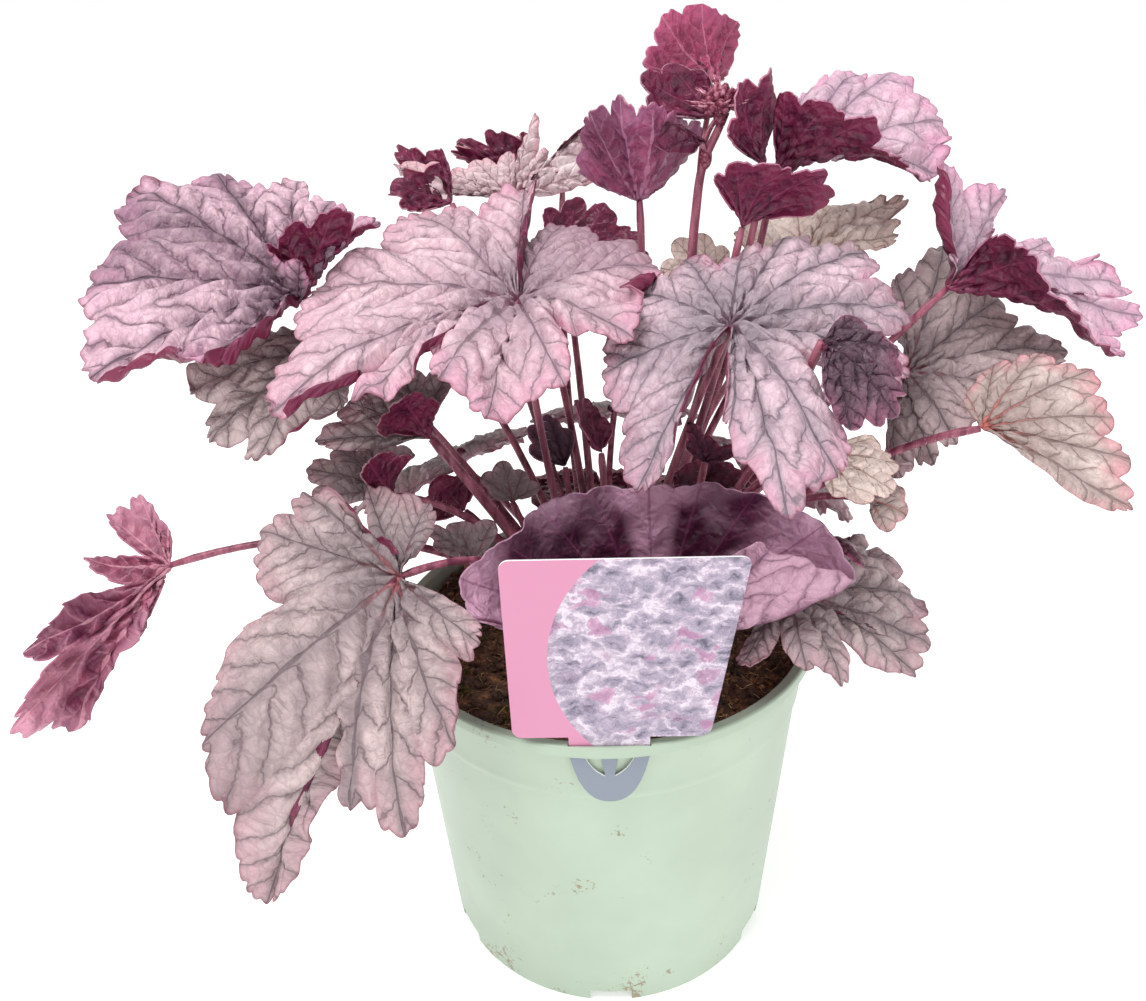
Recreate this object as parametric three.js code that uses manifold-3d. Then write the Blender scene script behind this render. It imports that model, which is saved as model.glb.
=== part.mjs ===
// A potted heuchera: a crown of lobed, ruffled leaves on long hairy stalks, growing in peat
// in a thin-walled 15 cm nursery pot with a plant label pushed through the rim.
// Millimetres, +Z up. The origin is the middle of the pot's foot, on the surface it stands on.
import * as THREE from 'three';
import { mergeVertices } from 'three/addons/utils/BufferGeometryUtils.js';
import Module from 'manifold-3d';

const wasm = await Module();
wasm.setup();

// ---- driving dimensions -------------------------------------------------------------------

const GAP = 0.35; // clearance between pieces that touch on the real plant

const POT = {
  height: 127,
  footRadius: 63,
  bandHeight: 104, // a faint step runs round the wall here
  bandRadius: 70.4,
  bandStep: 0.5,
  lipRadius: 75,
  lipDrop: 4, // depth of the turned-out lip
  wall: 1.3,
  floor: 7, // the bottom stands this far up inside the foot ring
  notches: 6, // drain openings in the foot ring
  notchWidth: 15,
  notchHeight: 5,
  notchReach: 12,
  holes: 8, // drain holes in the bottom
  holeRadius: 4.5,
  holeCircle: 44,
  slotHeight: 12, // the label's slot in the lip
};

const SOIL = {
  top: 121,
  crownHole: 13.5,
  holeDepth: 34,
  rings: [62, 54, 45, 36, 27, 18], // radii where the uneven top is shaped
};

const LABEL = {
  plane: -72.7, // the card stands in this Y plane, in the slot of the lip
  thickness: 0.7,
  left: -28,
  right: 40,
  bottom: 130,
  top: 190,
  tongueLeft: -11,
  tongueRight: 13,
  tongueBottom: 105,
  corner: 3,
  taper: 9, // the right edge runs this far in towards the bottom
  windowDrop: 7.6, // the two cut-outs in the tongue
  windowWidth: 6,
};

const CROWN = { radius: 12, top: 129, footholds: 8 };

const BLADE = 0.8; // thickness of a leaf
const STALK = { foot: 1.6, tip: 1.1, point: 0.4, neck: 2.5, sides: 5, steps: 5 };
const RINGS = [0.42, 0.75, 1]; // shares of a leaf where its faceted blade has a row of corners

const TONE = {
  pink: { color: '#cf9fb2', roughness: 0.62 },
  taupe: { color: '#a18f92', roughness: 0.66 },
  wine: { color: '#7c2446', roughness: 0.55 },
  plum: { color: '#5c2b47', roughness: 0.58 },
  straw: { color: '#c3ab9d', roughness: 0.66 },
};

// Every leaf is a fan of main veins from one heart point. A vein is
// [heading in degrees about +Z from +X, climb in degrees above level, length in mm, cut], in
// counter-clockwise order seen from the leaf's upper side; where the order turns back, the
// blade is folded over and shows its underside. The cut is how deep the notch after that vein
// goes, as a share of the leaf, and a leaf's own cut is used where none is given. A fifth
// value sets how narrow that notch is: 1 is a plain V, 3 a slit.
// elbow is the middle control point of the leaf's stalk, and root is where a stem leaf's stalk
// starts. A plain leaf gives its veins as a fan: [heading, climb, roll, length].
const LEAVES = {
  // the high leaves that face the front
  leaf_centre: {
    tone: 'pink', heart: [-25, 5, 240], elbow: [-20, 8, 185], pleat: 0.014, cut: 0.18,
    veins: [[89, 31, 53], [137, 24, 56], [-177, 5, 65, 0.1], [-149, -12, 84, 0.24, 2],
      [-135, -15, 63, 0.42, 2.4], [-113, -12, 51, 0.03], [-97, -23, 56, 0.04],
      [-72, -13, 50, 0.5, 1.8], [-43, -2, 48, 0.16], [1, 13, 45], [67, 27, 38]],
  },
  leaf_left: {
    tone: 'pink', heart: [-94, 6, 242], elbow: [-48, 22, 182], cut: 0.14,
    veins: [[-68, 46, 20], [-111, 58, 23], [-81, 73, 25], [0, 61, 32], [15, 40, 35], [77, 42, 39],
      [101, 35, 54], [128, 27, 72], [149, 22, 80], [-178, 6, 68, 0.1], [-143, -9, 67, 0.12, 1.6],
      [-117, -14, 44]],
  },
  leaf_left_low: {
    tone: 'taupe', heart: [-85, 7, 224], elbow: [-46, 24, 176], cut: 0.14,
    veins: [[163, 4, 43], [-165, -8, 48], [-142, -23, 50], [-118, -29, 45], [-79, -23, 25]],
  },
  leaf_mid_right: {
    tone: 'pink', heart: [38, -25, 239], elbow: [20, -4, 180], pleat: 0.014, cut: 0.16,
    veins: [[-96, -28, 38, 0.06], [-82, -31, 67, 0.05], [-64, -28, 58, 0.8], [-11, -15, 51],
      [11, 0, 56], [36, 13, 58], [59, 20, 48], [76, 23, 37], [106, 16, 35], [136, 3, 42],
      [175, -23, 40], [-139, -49, 54]],
  },
  leaf_puckered: {
    tone: 'plum', heart: [60, -46, 240], elbow: [52, -34, 200], cut: 0.06,
    veins: [[-94, -49, 15], [-67, -53, 25], [-28, -40, 28], [6, -11, 21], [35, 22, 12]],
  },
  leaf_lattice: {
    tone: 'straw', heart: [67, 24, 246], elbow: [38, 20, 190],
    veins: [[10, 10, 34], [29, 20, 44], [55, 27, 35], [86, 33, 29], [154, 19, 24]],
  },
  leaf_lattice_small: {
    tone: 'straw', heart: [36, 20, 241], elbow: [22, 16, 185], teethPerLobe: 2,
    veins: [[15, 51, 12], [92, 60, 16], [158, 50, 17], [-172, 19, 16]],
  },

  // the wine-red upper leaves round the flower stem
  leaf_top: {
    tone: 'wine', heart: [37, 22, 301], elbow: [33, 18, 288], root: [32, 10, 276], girth: 0.65,
    veins: [[-165, 14, 24], [180, 47, 24], [123, 71, 22], [58, 45, 23], [68, 12, 15]],
  },
  leaf_top_low: {
    tone: 'plum', heart: [37, 14, 292], elbow: [32, 11, 287], teethPerLobe: 2, root: [32, 10, 276],
    girth: 0.65, cut: 0.05,
    veins: [[-168, 10, 18], [-175, 27, 22], [172, 46, 17], [160, 70, 11]],
  },
  leaf_funnel: {
    tone: 'wine', heart: [14, 20, 268], elbow: [18, 26, 205], cut: 0.12, arch: -0.03,
    veins: [[105, 23, 38], [152, 20, 23], [-140, 54, 33], [-107, 55, 38], [-81, 55, 36],
      [-27, 60, 27], [34, 35, 32]],
  },
  leaf_bud_right: {
    tone: 'wine', heart: [51, 10, 278], elbow: [44, 14, 210], teethPerLobe: 2,
    veins: [[-138, 34, 22], [-127, 53, 29], [-93, 73, 27], [25, 73, 16]],
  },
  leaf_top_right: {
    tone: 'pink', heart: [55, 12, 276], elbow: [52, 30, 215], cut: 0.08,
    veins: [[-91, 66, 24], [-55, 47, 28], [-29, 26, 32], [-10, 4, 36], [13, -4, 54],
      [28, 8, 68], [43, 22, 66], [50, 26, 58], [65, 27, 45]],
  },
  leaf_wine: {
    tone: 'wine', heart: [45, 7, 261], elbow: [36, 22, 195], teethPerLobe: 2, cut: 0.08,
    veins: [[-141, 53, 21], [-112, 58, 24], [-61, 54, 23], [-23, 36, 28], [-9, 17, 27]],
  },
  leaf_ruffled_left: {
    tone: 'straw', heart: [-51, 54, 263], elbow: [-22, 38, 195], teethPerLobe: 2, cut: 0.12,
    ruffle: 0.03, waves: 1.5,
    veins: [[-154, 0, 18], [-162, 23, 21], [166, 73, 14], [158, 31, 25], [144, 38, 30],
      [113, 57, 20]],
  },
  leaf_ruffled_mid: {
    tone: 'wine', heart: [-13, 88, 262], elbow: [-16, 50, 195], teethPerLobe: 2, cut: 0.12,
    ruffle: 0.02, waves: 1.5,
    veins: [[-166, 22, 44], [-170, 30, 42], [180, 40, 34], [156, 54, 25], [149, 39, 28]],
  },
  leaf_ruffled_right: {
    tone: 'straw', heart: [-30, 68, 261], elbow: [-8, 42, 190], teethPerLobe: 2, cut: 0.12,
    ruffle: 0.03, waves: 1.5,
    veins: [[0, 17, 35], [16, 38, 38, 0.5, 1.6], [24, 49, 22, 0.3], [57, 60, 33, 0.6, 1.6],
      [99, 59, 19], [148, 39, 22], [163, 21, 30], [170, 10, 30]],
  },
  leaf_crenate: {
    tone: 'plum', heart: [-11, 56, 241], elbow: [-4, 32, 180], teethPerLobe: 2, cut: 0.15,
    veins: [[150, 66, 20], [55, 72, 23], [15, 51, 25], [-4, 19, 28], [-8, 4, 29]],
  },

  // the right side
  leaf_right: {
    tone: 'pink', heart: [108, 0, 242], elbow: [55, 4, 184], cut: 0.14,
    veins: [[-71, 44, 29], [-59, 25, 33], [-45, -8, 43], [-19, -20, 53], [2, -11, 63],
      [8, -3, 60], [22, 2, 52], [31, 10, 47, 0.75], [50, 40, 38], [113, 73, 36]],
  },
  leaf_olive: {
    tone: 'taupe', heart: [99, 2, 214], elbow: [48, 10, 168], cut: 0.14,
    veins: [[-107, -40, 38], [-88, -29, 37], [-76, -20, 33], [-31, -3, 31], [0, 9, 51],
      [28, 26, 42], [61, 43, 50], [87, 48, 36]],
  },
  leaf_far_right: {
    tone: 'straw', heart: [109, -38, 211], elbow: [70, -14, 194], cut: 0.08,
    veins: [[-39, -19, 44], [-28, -5, 38], [-18, 12, 33], [0, 32, 32], [26, 45, 26],
      [65, 43, 21], [109, 41, 11]],
  },
  leaf_folded: {
    tone: 'straw', heart: [61, -50, 209], elbow: [42, -22, 190], cut: 0.08, teethPerLobe: 2,
    veins: [[-78, -40, 13], [-37, -42, 18], [0, -28, 25], [14, -13, 25], [28, 2, 17]],
  },
  leaf_tag: {
    tone: 'straw', heart: [76, -48, 194], elbow: [50, -18, 188], cut: 0.08, teethPerLobe: 2,
    veins: [[-51, -45, 11], [-11, -22, 12], [20, 6, 12]],
  },
  leaf_lower_right: {
    tone: 'taupe', heart: [57, -42, 159], elbow: [34, -22, 150], cut: 0.16,
    veins: [[-132, -34, 26, 0.55, 2.6], [-88, -19, 28, 0.05], [-69, -23, 33, 0.5, 2],
      [-23, -25, 45, 0.06], [-11, -18, 46, 0.06], [8, -9, 44, 0.08], [33, -3, 48], [48, -1, 46]],
  },

  // the low leaves at the front and left
  leaf_front: {
    tone: 'plum', heart: [16, -45, 145], elbow: [10, -26, 136], cut: 0.05,
    veins: [[-160, 21, 61], [-167, 28, 66], [-174, 40, 60], [178, 54, 55], [159, 68, 53],
      [102, 79, 50], [28, 73, 52], [6, 59, 57], [-6, 41, 64], [-15, 28, 64], [-36, 51, 57]],
  },
  leaf_front_left: {
    tone: 'taupe', heart: [-61, -48, 171], elbow: [-22, -32, 180], pleat: 0.014, cut: 0.08,
    veins: [[66, 38, 25], [116, 29, 33, 0.78, 2.2], [147, 27, 43], [164, 11, 46, 0.35, 2],
      [-148, -28, 73, 0.12, 2], [-132, -54, 106, 0.42, 1.5], [-106, -49, 68, 0.03],
      [-85, -48, 74, 0.16, 2], [-63, -37, 54, 0.3, 1.8], [-41, -13, 37]],
  },
  leaf_curled: {
    tone: 'taupe', heart: [-69, -12, 181], elbow: [-40, -4, 176],
    veins: [[-99, 54, 24], [14, 59, 16], [118, 26, 23], [149, 28, 26], [176, 19, 29], [-161, 6, 25]],
  },
  leaf_far_left: {
    tone: 'wine', heart: [-139, -30, 166], elbow: [-60, -16, 186], cut: 0.12,
    veins: [[-117, -46, 23, 0.6], [-116, -37, 55], [-122, -23, 65], [-135, -11, 48, 0.4],
      [-175, 8, 26, 0.6], [155, 30, 28], [128, 42, 27], [107, 36, 13]],
  },
  leaf_fold_left: {
    tone: 'taupe', heart: [-56, -2, 197], elbow: [-28, -4, 158], girth: 1.4,
    veins: [[-119, 27, 28], [-100, 47, 30], [-49, 60, 16], [44, 67, 22], [132, 55, 24],
      [180, 28, 28], [-164, 7, 37]],
  },
  leaf_small_brown: {
    tone: 'taupe', heart: [-31, 6, 169], elbow: [-24, 6, 148], cut: 0.12, teethPerLobe: 2,
    veins: [[22, 19, 11], [66, 43, 12], [115, 53, 15], [169, 35, 13], [-149, 22, 8]],
  },
  leaf_small_crimson: {
    tone: 'wine', heart: [0, -4, 191], elbow: [2, -4, 160], teethPerLobe: 2,
    veins: [[166, 65, 19], [111, 61, 18], [66, 38, 11]],
  },
  leaf_inner: {
    tone: 'plum', heart: [-13, 26, 173], elbow: [-10, 18, 145], cut: 0.12, teethPerLobe: 2,
    veins: [[54, 69, 13], [134, 65, 20], [171, 47, 18], [-170, 26, 13]],
  },
  leaf_inner_left: {
    tone: 'taupe', heart: [-43, -16, 157], elbow: [-26, -10, 140], cut: 0.12, teethPerLobe: 2,
    veins: [[45, 52, 14], [129, 50, 15], [173, 37, 20], [-152, 38, 16]],
  },
  leaf_inner_dark: {
    tone: 'plum', heart: [-48, 4, 167], elbow: [-28, 4, 146], cut: 0.12, teethPerLobe: 2,
    veins: [[-155, 7, 15], [-165, 58, 14], [38, 74, 12]],
  },
  leaf_inner_right: {
    tone: 'wine', heart: [33, -18, 193], elbow: [28, -18, 158], cut: 0.2, teethPerLobe: 2,
    veins: [[-12, 28, 11], [0, 73, 8], [180, 68, 15], [-161, 44, 9]],
  },
  leaf_arched: {
    tone: 'wine', heart: [32, -6, 177], elbow: [20, -2, 150], cut: 0.06, teethPerLobe: 2,
    veins: [[-19, 12, 19], [28, 49, 13], [-166, 42, 11]],
  },
  leaf_bud_front: {
    tone: 'wine', heart: [67, -44, 179], elbow: [40, -22, 160], teethPerLobe: 2,
    veins: [[-32, -28, 13], [14, -23, 9]],
  },

  // the leaves at the back: plain fans of seven veins
  leaf_back_left: {
    tone: 'pink', heart: [-60, 52, 220], elbow: [-26, 26, 185],
    fan: [132, -10, 0, 48],
  },
  leaf_back_right: { tone: 'pink', heart: [62, 56, 214], elbow: [28, 28, 178], fan: [50, -12, 0, 48] },
  leaf_back: { tone: 'taupe', heart: [6, 64, 180], elbow: [2, 32, 164], fan: [90, -22, 0, 42] },
  leaf_back_low_left: {
    tone: 'taupe', heart: [-58, 46, 168], elbow: [-26, 24, 156],
    fan: [142, -32, 0, 48],
  },
  leaf_back_low_right: {
    tone: 'taupe', heart: [60, 42, 166], elbow: [28, 22, 154],
    fan: [36, -36, 0, 46],
  },
  leaf_back_low: { tone: 'straw', heart: [0, 56, 152], elbow: [0, 28, 146], fan: [90, -44, 0, 44] },
};

// ---- solids -------------------------------------------------------------------------------

function solidFrom(geometry) {
  const bare = geometry.clone();
  bare.deleteAttribute('normal');
  bare.deleteAttribute('uv');
  const merged = mergeVertices(bare, 1e-4);
  return new wasm.Manifold(new wasm.Mesh({
    numProp: 3,
    vertProperties: new Float32Array(merged.attributes.position.array),
    triVerts: new Uint32Array(merged.index.array),
  }));
}

function geometryFrom(solid) {
  const { vertProperties, triVerts } = solid.getMesh();
  const geometry = new THREE.BufferGeometry();
  geometry.setAttribute('position', new THREE.BufferAttribute(new Float32Array(vertProperties), 3));
  geometry.setIndex(new THREE.BufferAttribute(new Uint32Array(triVerts), 1));
  return geometry;
}

// A round body about the Z axis from an outline of [radius, height] points.
function turned(outline, segments) {
  const points = outline.map(([r, z]) => new THREE.Vector2(r, z));
  const geometry = new THREE.LatheGeometry(points, segments);
  geometry.rotateX(Math.PI / 2);
  return geometry;
}

function boxAt(width, depth, height, x, y, z) {
  return new THREE.BoxGeometry(width, depth, height).translate(x, y, z);
}

function meshFromFaces(points, faces) {
  const geometry = new THREE.BufferGeometry();
  const corners = points.flatMap((p) => [p.x, p.y, p.z]);
  geometry.setAttribute('position', new THREE.Float32BufferAttribute(corners, 3));
  geometry.setIndex(faces.flat());
  return geometry;
}

function named(name, geometry, color, roughness) {
  const material = new THREE.MeshStandardMaterial({ color, roughness, metalness: 0 });
  const mesh = new THREE.Mesh(geometry, material);
  mesh.name = name;
  return mesh;
}

// ---- pot ----------------------------------------------------------------------------------

function potRadius(z) {
  return POT.footRadius + ((POT.bandRadius - POT.footRadius) * z) / POT.bandHeight;
}

function pot() {
  const { height, footRadius, bandHeight, bandRadius, bandStep, lipRadius, wall, floor } = POT;
  const underLip = height - POT.lipDrop;
  const neck = potRadius(underLip) + bandStep;
  const outline = [
    [0, floor], [potRadius(floor) - wall, floor], [footRadius - wall, 0], [footRadius, 0],
    [bandRadius, bandHeight], [bandRadius + bandStep, bandHeight + 1], [neck, underLip],
    [lipRadius, underLip], [lipRadius, height - 1], [lipRadius - 1, height],
    [neck - 0.4, height], [neck - wall, height - 1], [neck - wall - 0.2, underLip],
    [bandRadius - wall, bandHeight], [potRadius(floor) - wall, floor + wall], [0, floor + wall],
  ];
  let body = solidFrom(turned(outline, 40));
  for (let i = 0; i < POT.notches; i += 1) {
    const angle = (i / POT.notches) * 2 * Math.PI - Math.PI / 2;
    const notch = boxAt(POT.notchReach, POT.notchWidth, POT.notchHeight * 2, footRadius, 0, 0);
    body = body.subtract(solidFrom(notch.rotateZ(angle)));
  }
  for (let i = 0; i < POT.holes; i += 1) {
    const angle = ((i + 0.5) / POT.holes) * 2 * Math.PI;
    const hole = new THREE.CylinderGeometry(POT.holeRadius, POT.holeRadius, 6 * wall, 8);
    hole.rotateX(Math.PI / 2).translate(POT.holeCircle, 0, floor).rotateZ(angle);
    body = body.subtract(solidFrom(hole));
  }
  const { tongueLeft, tongueRight, thickness, plane } = LABEL;
  const slotWidth = tongueRight - tongueLeft + 2 * GAP;
  const slotMiddle = (tongueRight + tongueLeft) / 2;
  const slot = boxAt(slotWidth, thickness + 2 * GAP, POT.slotHeight, slotMiddle, plane, height);
  body = body.subtract(solidFrom(slot));
  return named('pot', geometryFrom(body), '#cfe0ce', 0.42);
}

// ---- soil ---------------------------------------------------------------------------------

// The uneven top: broad swells and smaller ones across them.
function soilHeight(x, y) {
  const swell = 1.1 * Math.sin(x / 7) * Math.cos(y / 9);
  const ripple = 0.7 * Math.sin((x + y) / 4.3);
  return SOIL.top + swell + ripple;
}

function soil() {
  const base = POT.floor + POT.wall + GAP;
  const shoulder = POT.bandHeight - 1;
  const rim = SOIL.top - 1;
  const edge = (z) => potRadius(z) - POT.wall - 1.5 * GAP;
  const outline = [
    [0, base], [edge(base) - GAP, base], [edge(shoulder), shoulder], [edge(rim), rim],
    ...SOIL.rings.map((radius) => [radius, SOIL.top]), [0, SOIL.top],
  ];
  const geometry = turned(outline, 32);
  const { position } = geometry.attributes;
  for (let i = 0; i < position.count; i += 1) {
    if (position.getZ(i) > SOIL.top - 0.01) {
      position.setZ(i, soilHeight(position.getX(i), position.getY(i)));
    }
  }
  const hole = new THREE.CylinderGeometry(SOIL.crownHole, SOIL.crownHole, SOIL.holeDepth * 2, 16);
  hole.rotateX(Math.PI / 2).translate(0, 0, SOIL.top);
  const body = solidFrom(geometry).subtract(solidFrom(hole));
  return named('soil', geometryFrom(body), '#3b2618', 0.95);
}

// ---- label --------------------------------------------------------------------------------

function label() {
  const { left, right, bottom, top, tongueLeft, tongueRight, tongueBottom, corner, plane } = LABEL;
  const sill = POT.height - POT.lipDrop;
  const middle = (tongueLeft + tongueRight) / 2;
  const foot = right - LABEL.taper;
  const shape = new THREE.Shape();
  shape.moveTo(tongueLeft, bottom);
  shape.lineTo(left + corner, bottom);
  shape.quadraticCurveTo(left, bottom, left, bottom + corner);
  shape.lineTo(left, top - corner);
  shape.quadraticCurveTo(left, top, left + corner, top);
  shape.lineTo(right - corner, top);
  shape.quadraticCurveTo(right, top, right, top - corner);
  shape.lineTo(foot, bottom + corner);
  shape.quadraticCurveTo(foot, bottom, foot - corner, bottom);
  shape.lineTo(tongueRight, bottom);
  shape.lineTo(tongueRight, sill);
  shape.bezierCurveTo(
    tongueRight - corner, tongueBottom + 2, middle + corner + 1, tongueBottom, middle, tongueBottom,
  );
  shape.bezierCurveTo(
    middle - corner - 1, tongueBottom, tongueLeft + corner, tongueBottom + 2, tongueLeft, sill,
  );
  const card = (outline, depth) => {
    const settings = { depth, bevelEnabled: false, curveSegments: 6 };
    const geometry = new THREE.ExtrudeGeometry(outline, settings).rotateX(Math.PI / 2);
    return solidFrom(geometry.translate(0, plane + depth / 2, 0));
  };
  let body = card(shape, LABEL.thickness);
  for (const side of [-1, 1]) {
    const near = middle + side * 1.4;
    const far = near + side * LABEL.windowWidth;
    const window = new THREE.Shape();
    window.moveTo(near + side, sill - GAP);
    window.lineTo(near, sill - LABEL.windowDrop);
    window.quadraticCurveTo((near + 2 * far) / 3, sill - 0.75 * LABEL.windowDrop, far, sill - GAP);
    body = body.subtract(card(window, LABEL.thickness * 3));
  }
  return named('label', geometryFrom(body), '#f0a3c4', 0.35);
}

// ---- leaf blades --------------------------------------------------------------------------

function veinDirection([heading, climb]) {
  const h = THREE.MathUtils.degToRad(heading);
  const c = THREE.MathUtils.degToRad(climb);
  return new THREE.Vector3(Math.cos(h) * Math.cos(c), Math.sin(h) * Math.cos(c), Math.sin(c));
}

// A smooth curve through b and c, with a and d as the values before and after them.
function smoothValue(a, b, c, d, f) {
  const slope = c - a;
  const bend = 2 * a - 5 * b + 4 * c - d;
  const twist = 3 * b - a - 3 * c + d;
  return b + 0.5 * (slope * f + bend * f ** 2 + twist * f ** 3);
}

const FAN = { spread: 44, droop: 6, shares: [0.62, 0.82, 0.95, 1, 0.95, 0.82, 0.62] };

// Veins evenly round one heading, the side ones shorter. Roll lifts the leaf's left side.
function fanVeins([heading, climb, roll, length]) {
  return FAN.shares.map((share, k) => {
    const turn = (k - (FAN.shares.length - 1) / 2) * FAN.spread;
    const radians = THREE.MathUtils.degToRad(turn);
    const lift = climb * Math.cos(radians) + roll * Math.sin(radians);
    return [heading + turn, lift - FAN.droop, length * share];
  });
}

const PLAIN_LEAF = { cut: 0.1, arch: 0.1, pleat: 0.025, teeth: 0.05, ruffle: 0, waves: 0.5 };

// The leaf as a surface: t runs from vein to vein (whole numbers are veins), s from the heart
// to the margin.
class LeafSurface {
  constructor(leaf) {
    this.heart = new THREE.Vector3(...leaf.heart);
    this.veins = leaf.veins ?? fanVeins(leaf.fan);
    this.shape = { ...PLAIN_LEAF, ...leaf };
    const inner = this.veins.map(veinDirection);
    const mirror = (near, far) => near.clone().multiplyScalar(2 * near.dot(far)).sub(far);
    this.directions = [mirror(inner[0], inner[1]), ...inner, mirror(inner.at(-1), inner.at(-2))];
    const lengths = this.veins.map((vein) => vein[2]);
    this.lengths = [lengths[0] * 0.9, ...lengths, lengths.at(-1) * 0.9];
    this.end = 0.45; // the blade goes this far past its first and last vein
    this.last = this.veins.length - 1;
  }

  direction(t) {
    const i = Math.min(Math.max(Math.floor(t), -1), this.last);
    const f = t - i;
    const at = (k) => this.directions[Math.min(Math.max(k + 1, 0), this.directions.length - 1)];
    if (i < 0 || i >= this.last) {
      return at(i).clone().lerp(at(i + 1), f).normalize();
    }
    const [a, b, c, d] = [at(i - 1), at(i), at(i + 1), at(i + 2)];
    const [x, y, z] = ['x', 'y', 'z'].map((axis) => smoothValue(a[axis], b[axis], c[axis], d[axis], f));
    return new THREE.Vector3(x, y, z).normalize();
  }

  length(t) {
    const i = Math.min(Math.max(Math.floor(t), -1), this.last);
    const f = t - i;
    const at = (k) => this.lengths[Math.min(Math.max(k + 1, 0), this.lengths.length - 1)];
    if (i < 0 || i >= this.last) {
      return THREE.MathUtils.lerp(at(i), at(i + 1), f);
    }
    return smoothValue(at(i - 1), at(i), at(i + 1), at(i + 2), f);
  }

  // Share of the vein length that the margin reaches: lobes, their scalloped teeth, and the
  // rounded ends beside the stalk.
  outline(t, teethPerLobe) {
    const between = Math.abs(2 * (t - Math.round(t)));
    const vein = this.veins[Math.min(Math.max(Math.floor(t), 0), this.last)];
    const cut = t >= 0 && t < this.last ? vein[3] ?? this.shape.cut : this.shape.cut;
    let reach = 1 - cut * between ** (vein[4] ?? 2.4 + cut);
    const beyond = Math.max(-t, t - this.last);
    if (beyond > 0) {
      reach *= Math.sqrt(1 - (beyond / (this.end + 0.03)) ** 2.2);
    }
    const tooth = Math.abs(Math.cos(Math.PI * teethPerLobe * t)) ** 0.7;
    return reach * (1 - this.shape.teeth * (1 - tooth));
  }

  normal(t) {
    const across = this.direction(t + 0.01).sub(this.direction(t - 0.01));
    return this.direction(t).cross(across).normalize();
  }

  point(t, s, teethPerLobe) {
    const { arch, pleat, ruffle, waves } = this.shape;
    const length = this.length(t);
    const lift = 4 * arch * s * (1 - s) - pleat * Math.cos(2 * Math.PI * t) * s * (1.2 - s)
      + ruffle * Math.sin(2 * Math.PI * waves * t) * s ** 3;
    return this.heart.clone()
      .addScaledVector(this.direction(t), length * this.outline(t, teethPerLobe) * s)
      .addScaledVector(this.normal(t), length * lift);
  }
}

// One closed thin solid: both faces have the same triangles, half a blade to either side.
function bladeGeometry(surface, teethPerLobe) {
  const rows = RINGS.map((s) => {
    const step = s === 1 ? 0.5 / teethPerLobe : 0.5;
    const count = Math.round((surface.last + 1) / step);
    return Array.from({ length: count + 1 }, (_, k) => {
      const t = THREE.MathUtils.clamp(-0.5 + k * step, -surface.end, surface.last + surface.end);
      return { t, s };
    });
  });
  const places = [{ t: surface.last / 2, s: 0 }, ...rows.flat()];
  const rowStart = [1, 1 + rows[0].length, 1 + rows[0].length + rows[1].length];
  const middle = places.map(({ t, s }) => surface.point(t, s, teethPerLobe));
  const faces = [];
  for (let k = 0; k + 1 < rows[0].length; k += 1) {
    const a = rowStart[0] + k;
    const b = rowStart[1] + k;
    faces.push([0, a, a + 1]);
    faces.push([a, b, b + 1]);
    faces.push([a, b + 1, a + 1]);
    const m = rowStart[2] + k * teethPerLobe;
    const half = Math.floor(teethPerLobe / 2);
    for (let j = 0; j < teethPerLobe; j += 1) {
      faces.push([j <= half ? b : b + 1, m + j, m + j + 1]);
      if (j === half) {
        faces.push([b, m + j + 1, b + 1]);
      }
    }
  }
  const normals = places.map(() => new THREE.Vector3());
  for (const [a, b, c] of faces) {
    const face = new THREE.Vector3().subVectors(middle[b], middle[a])
      .cross(new THREE.Vector3().subVectors(middle[c], middle[a])).normalize();
    normals[a].add(face);
    normals[b].add(face);
    normals[c].add(face);
  }
  normals.forEach((normal) => normal.normalize());
  const upper = middle.map((p, i) => p.clone().addScaledVector(normals[i], BLADE / 2));
  const lower = middle.map((p, i) => p.clone().addScaledVector(normals[i], -BLADE / 2));
  const n = middle.length;
  const solid = [...faces, ...faces.map(([a, b, c]) => [n + a, n + c, n + b])];
  const margin = rows[2].length;
  const edge = [0, rowStart[0], rowStart[1]];
  for (let k = 0; k < margin; k += 1) {
    edge.push(rowStart[2] + k);
  }
  edge.push(rowStart[2] - 1, rowStart[1] - 1);
  edge.forEach((a, k) => {
    const b = edge[(k + 1) % edge.length];
    solid.push([a, n + a, n + b]);
    solid.push([a, n + b, b]);
  });
  return meshFromFaces([...upper, ...lower], solid);
}

// ---- crown and stalks ---------------------------------------------------------------------

function tube(route, radii, sides) {
  const points = [];
  const faces = [];
  let side = null;
  route.forEach((place, i) => {
    const along = new THREE.Vector3()
      .subVectors(route[Math.min(i + 1, route.length - 1)], route[Math.max(i - 1, 0)]).normalize();
    side = side ?? new THREE.Vector3(1, 0.3, 0.1);
    side.addScaledVector(along, -side.dot(along)).normalize();
    const other = new THREE.Vector3().crossVectors(along, side);
    for (let k = 0; k < sides; k += 1) {
      const angle = (2 * Math.PI * k) / sides;
      points.push(place.clone()
        .addScaledVector(side, radii[i] * Math.cos(angle))
        .addScaledVector(other, radii[i] * Math.sin(angle)));
    }
  });
  const last = (route.length - 1) * sides;
  for (let i = 0; i + 1 < route.length; i += 1) {
    for (let k = 0; k < sides; k += 1) {
      const a = i * sides + k;
      const b = i * sides + ((k + 1) % sides);
      faces.push([a, b, b + sides], [a, b + sides, a + sides]);
    }
  }
  for (let k = 1; k + 1 < sides; k += 1) {
    faces.push([0, k + 1, k], [last, last + k, last + k + 1]);
  }
  return meshFromFaces(points, faces);
}

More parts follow.
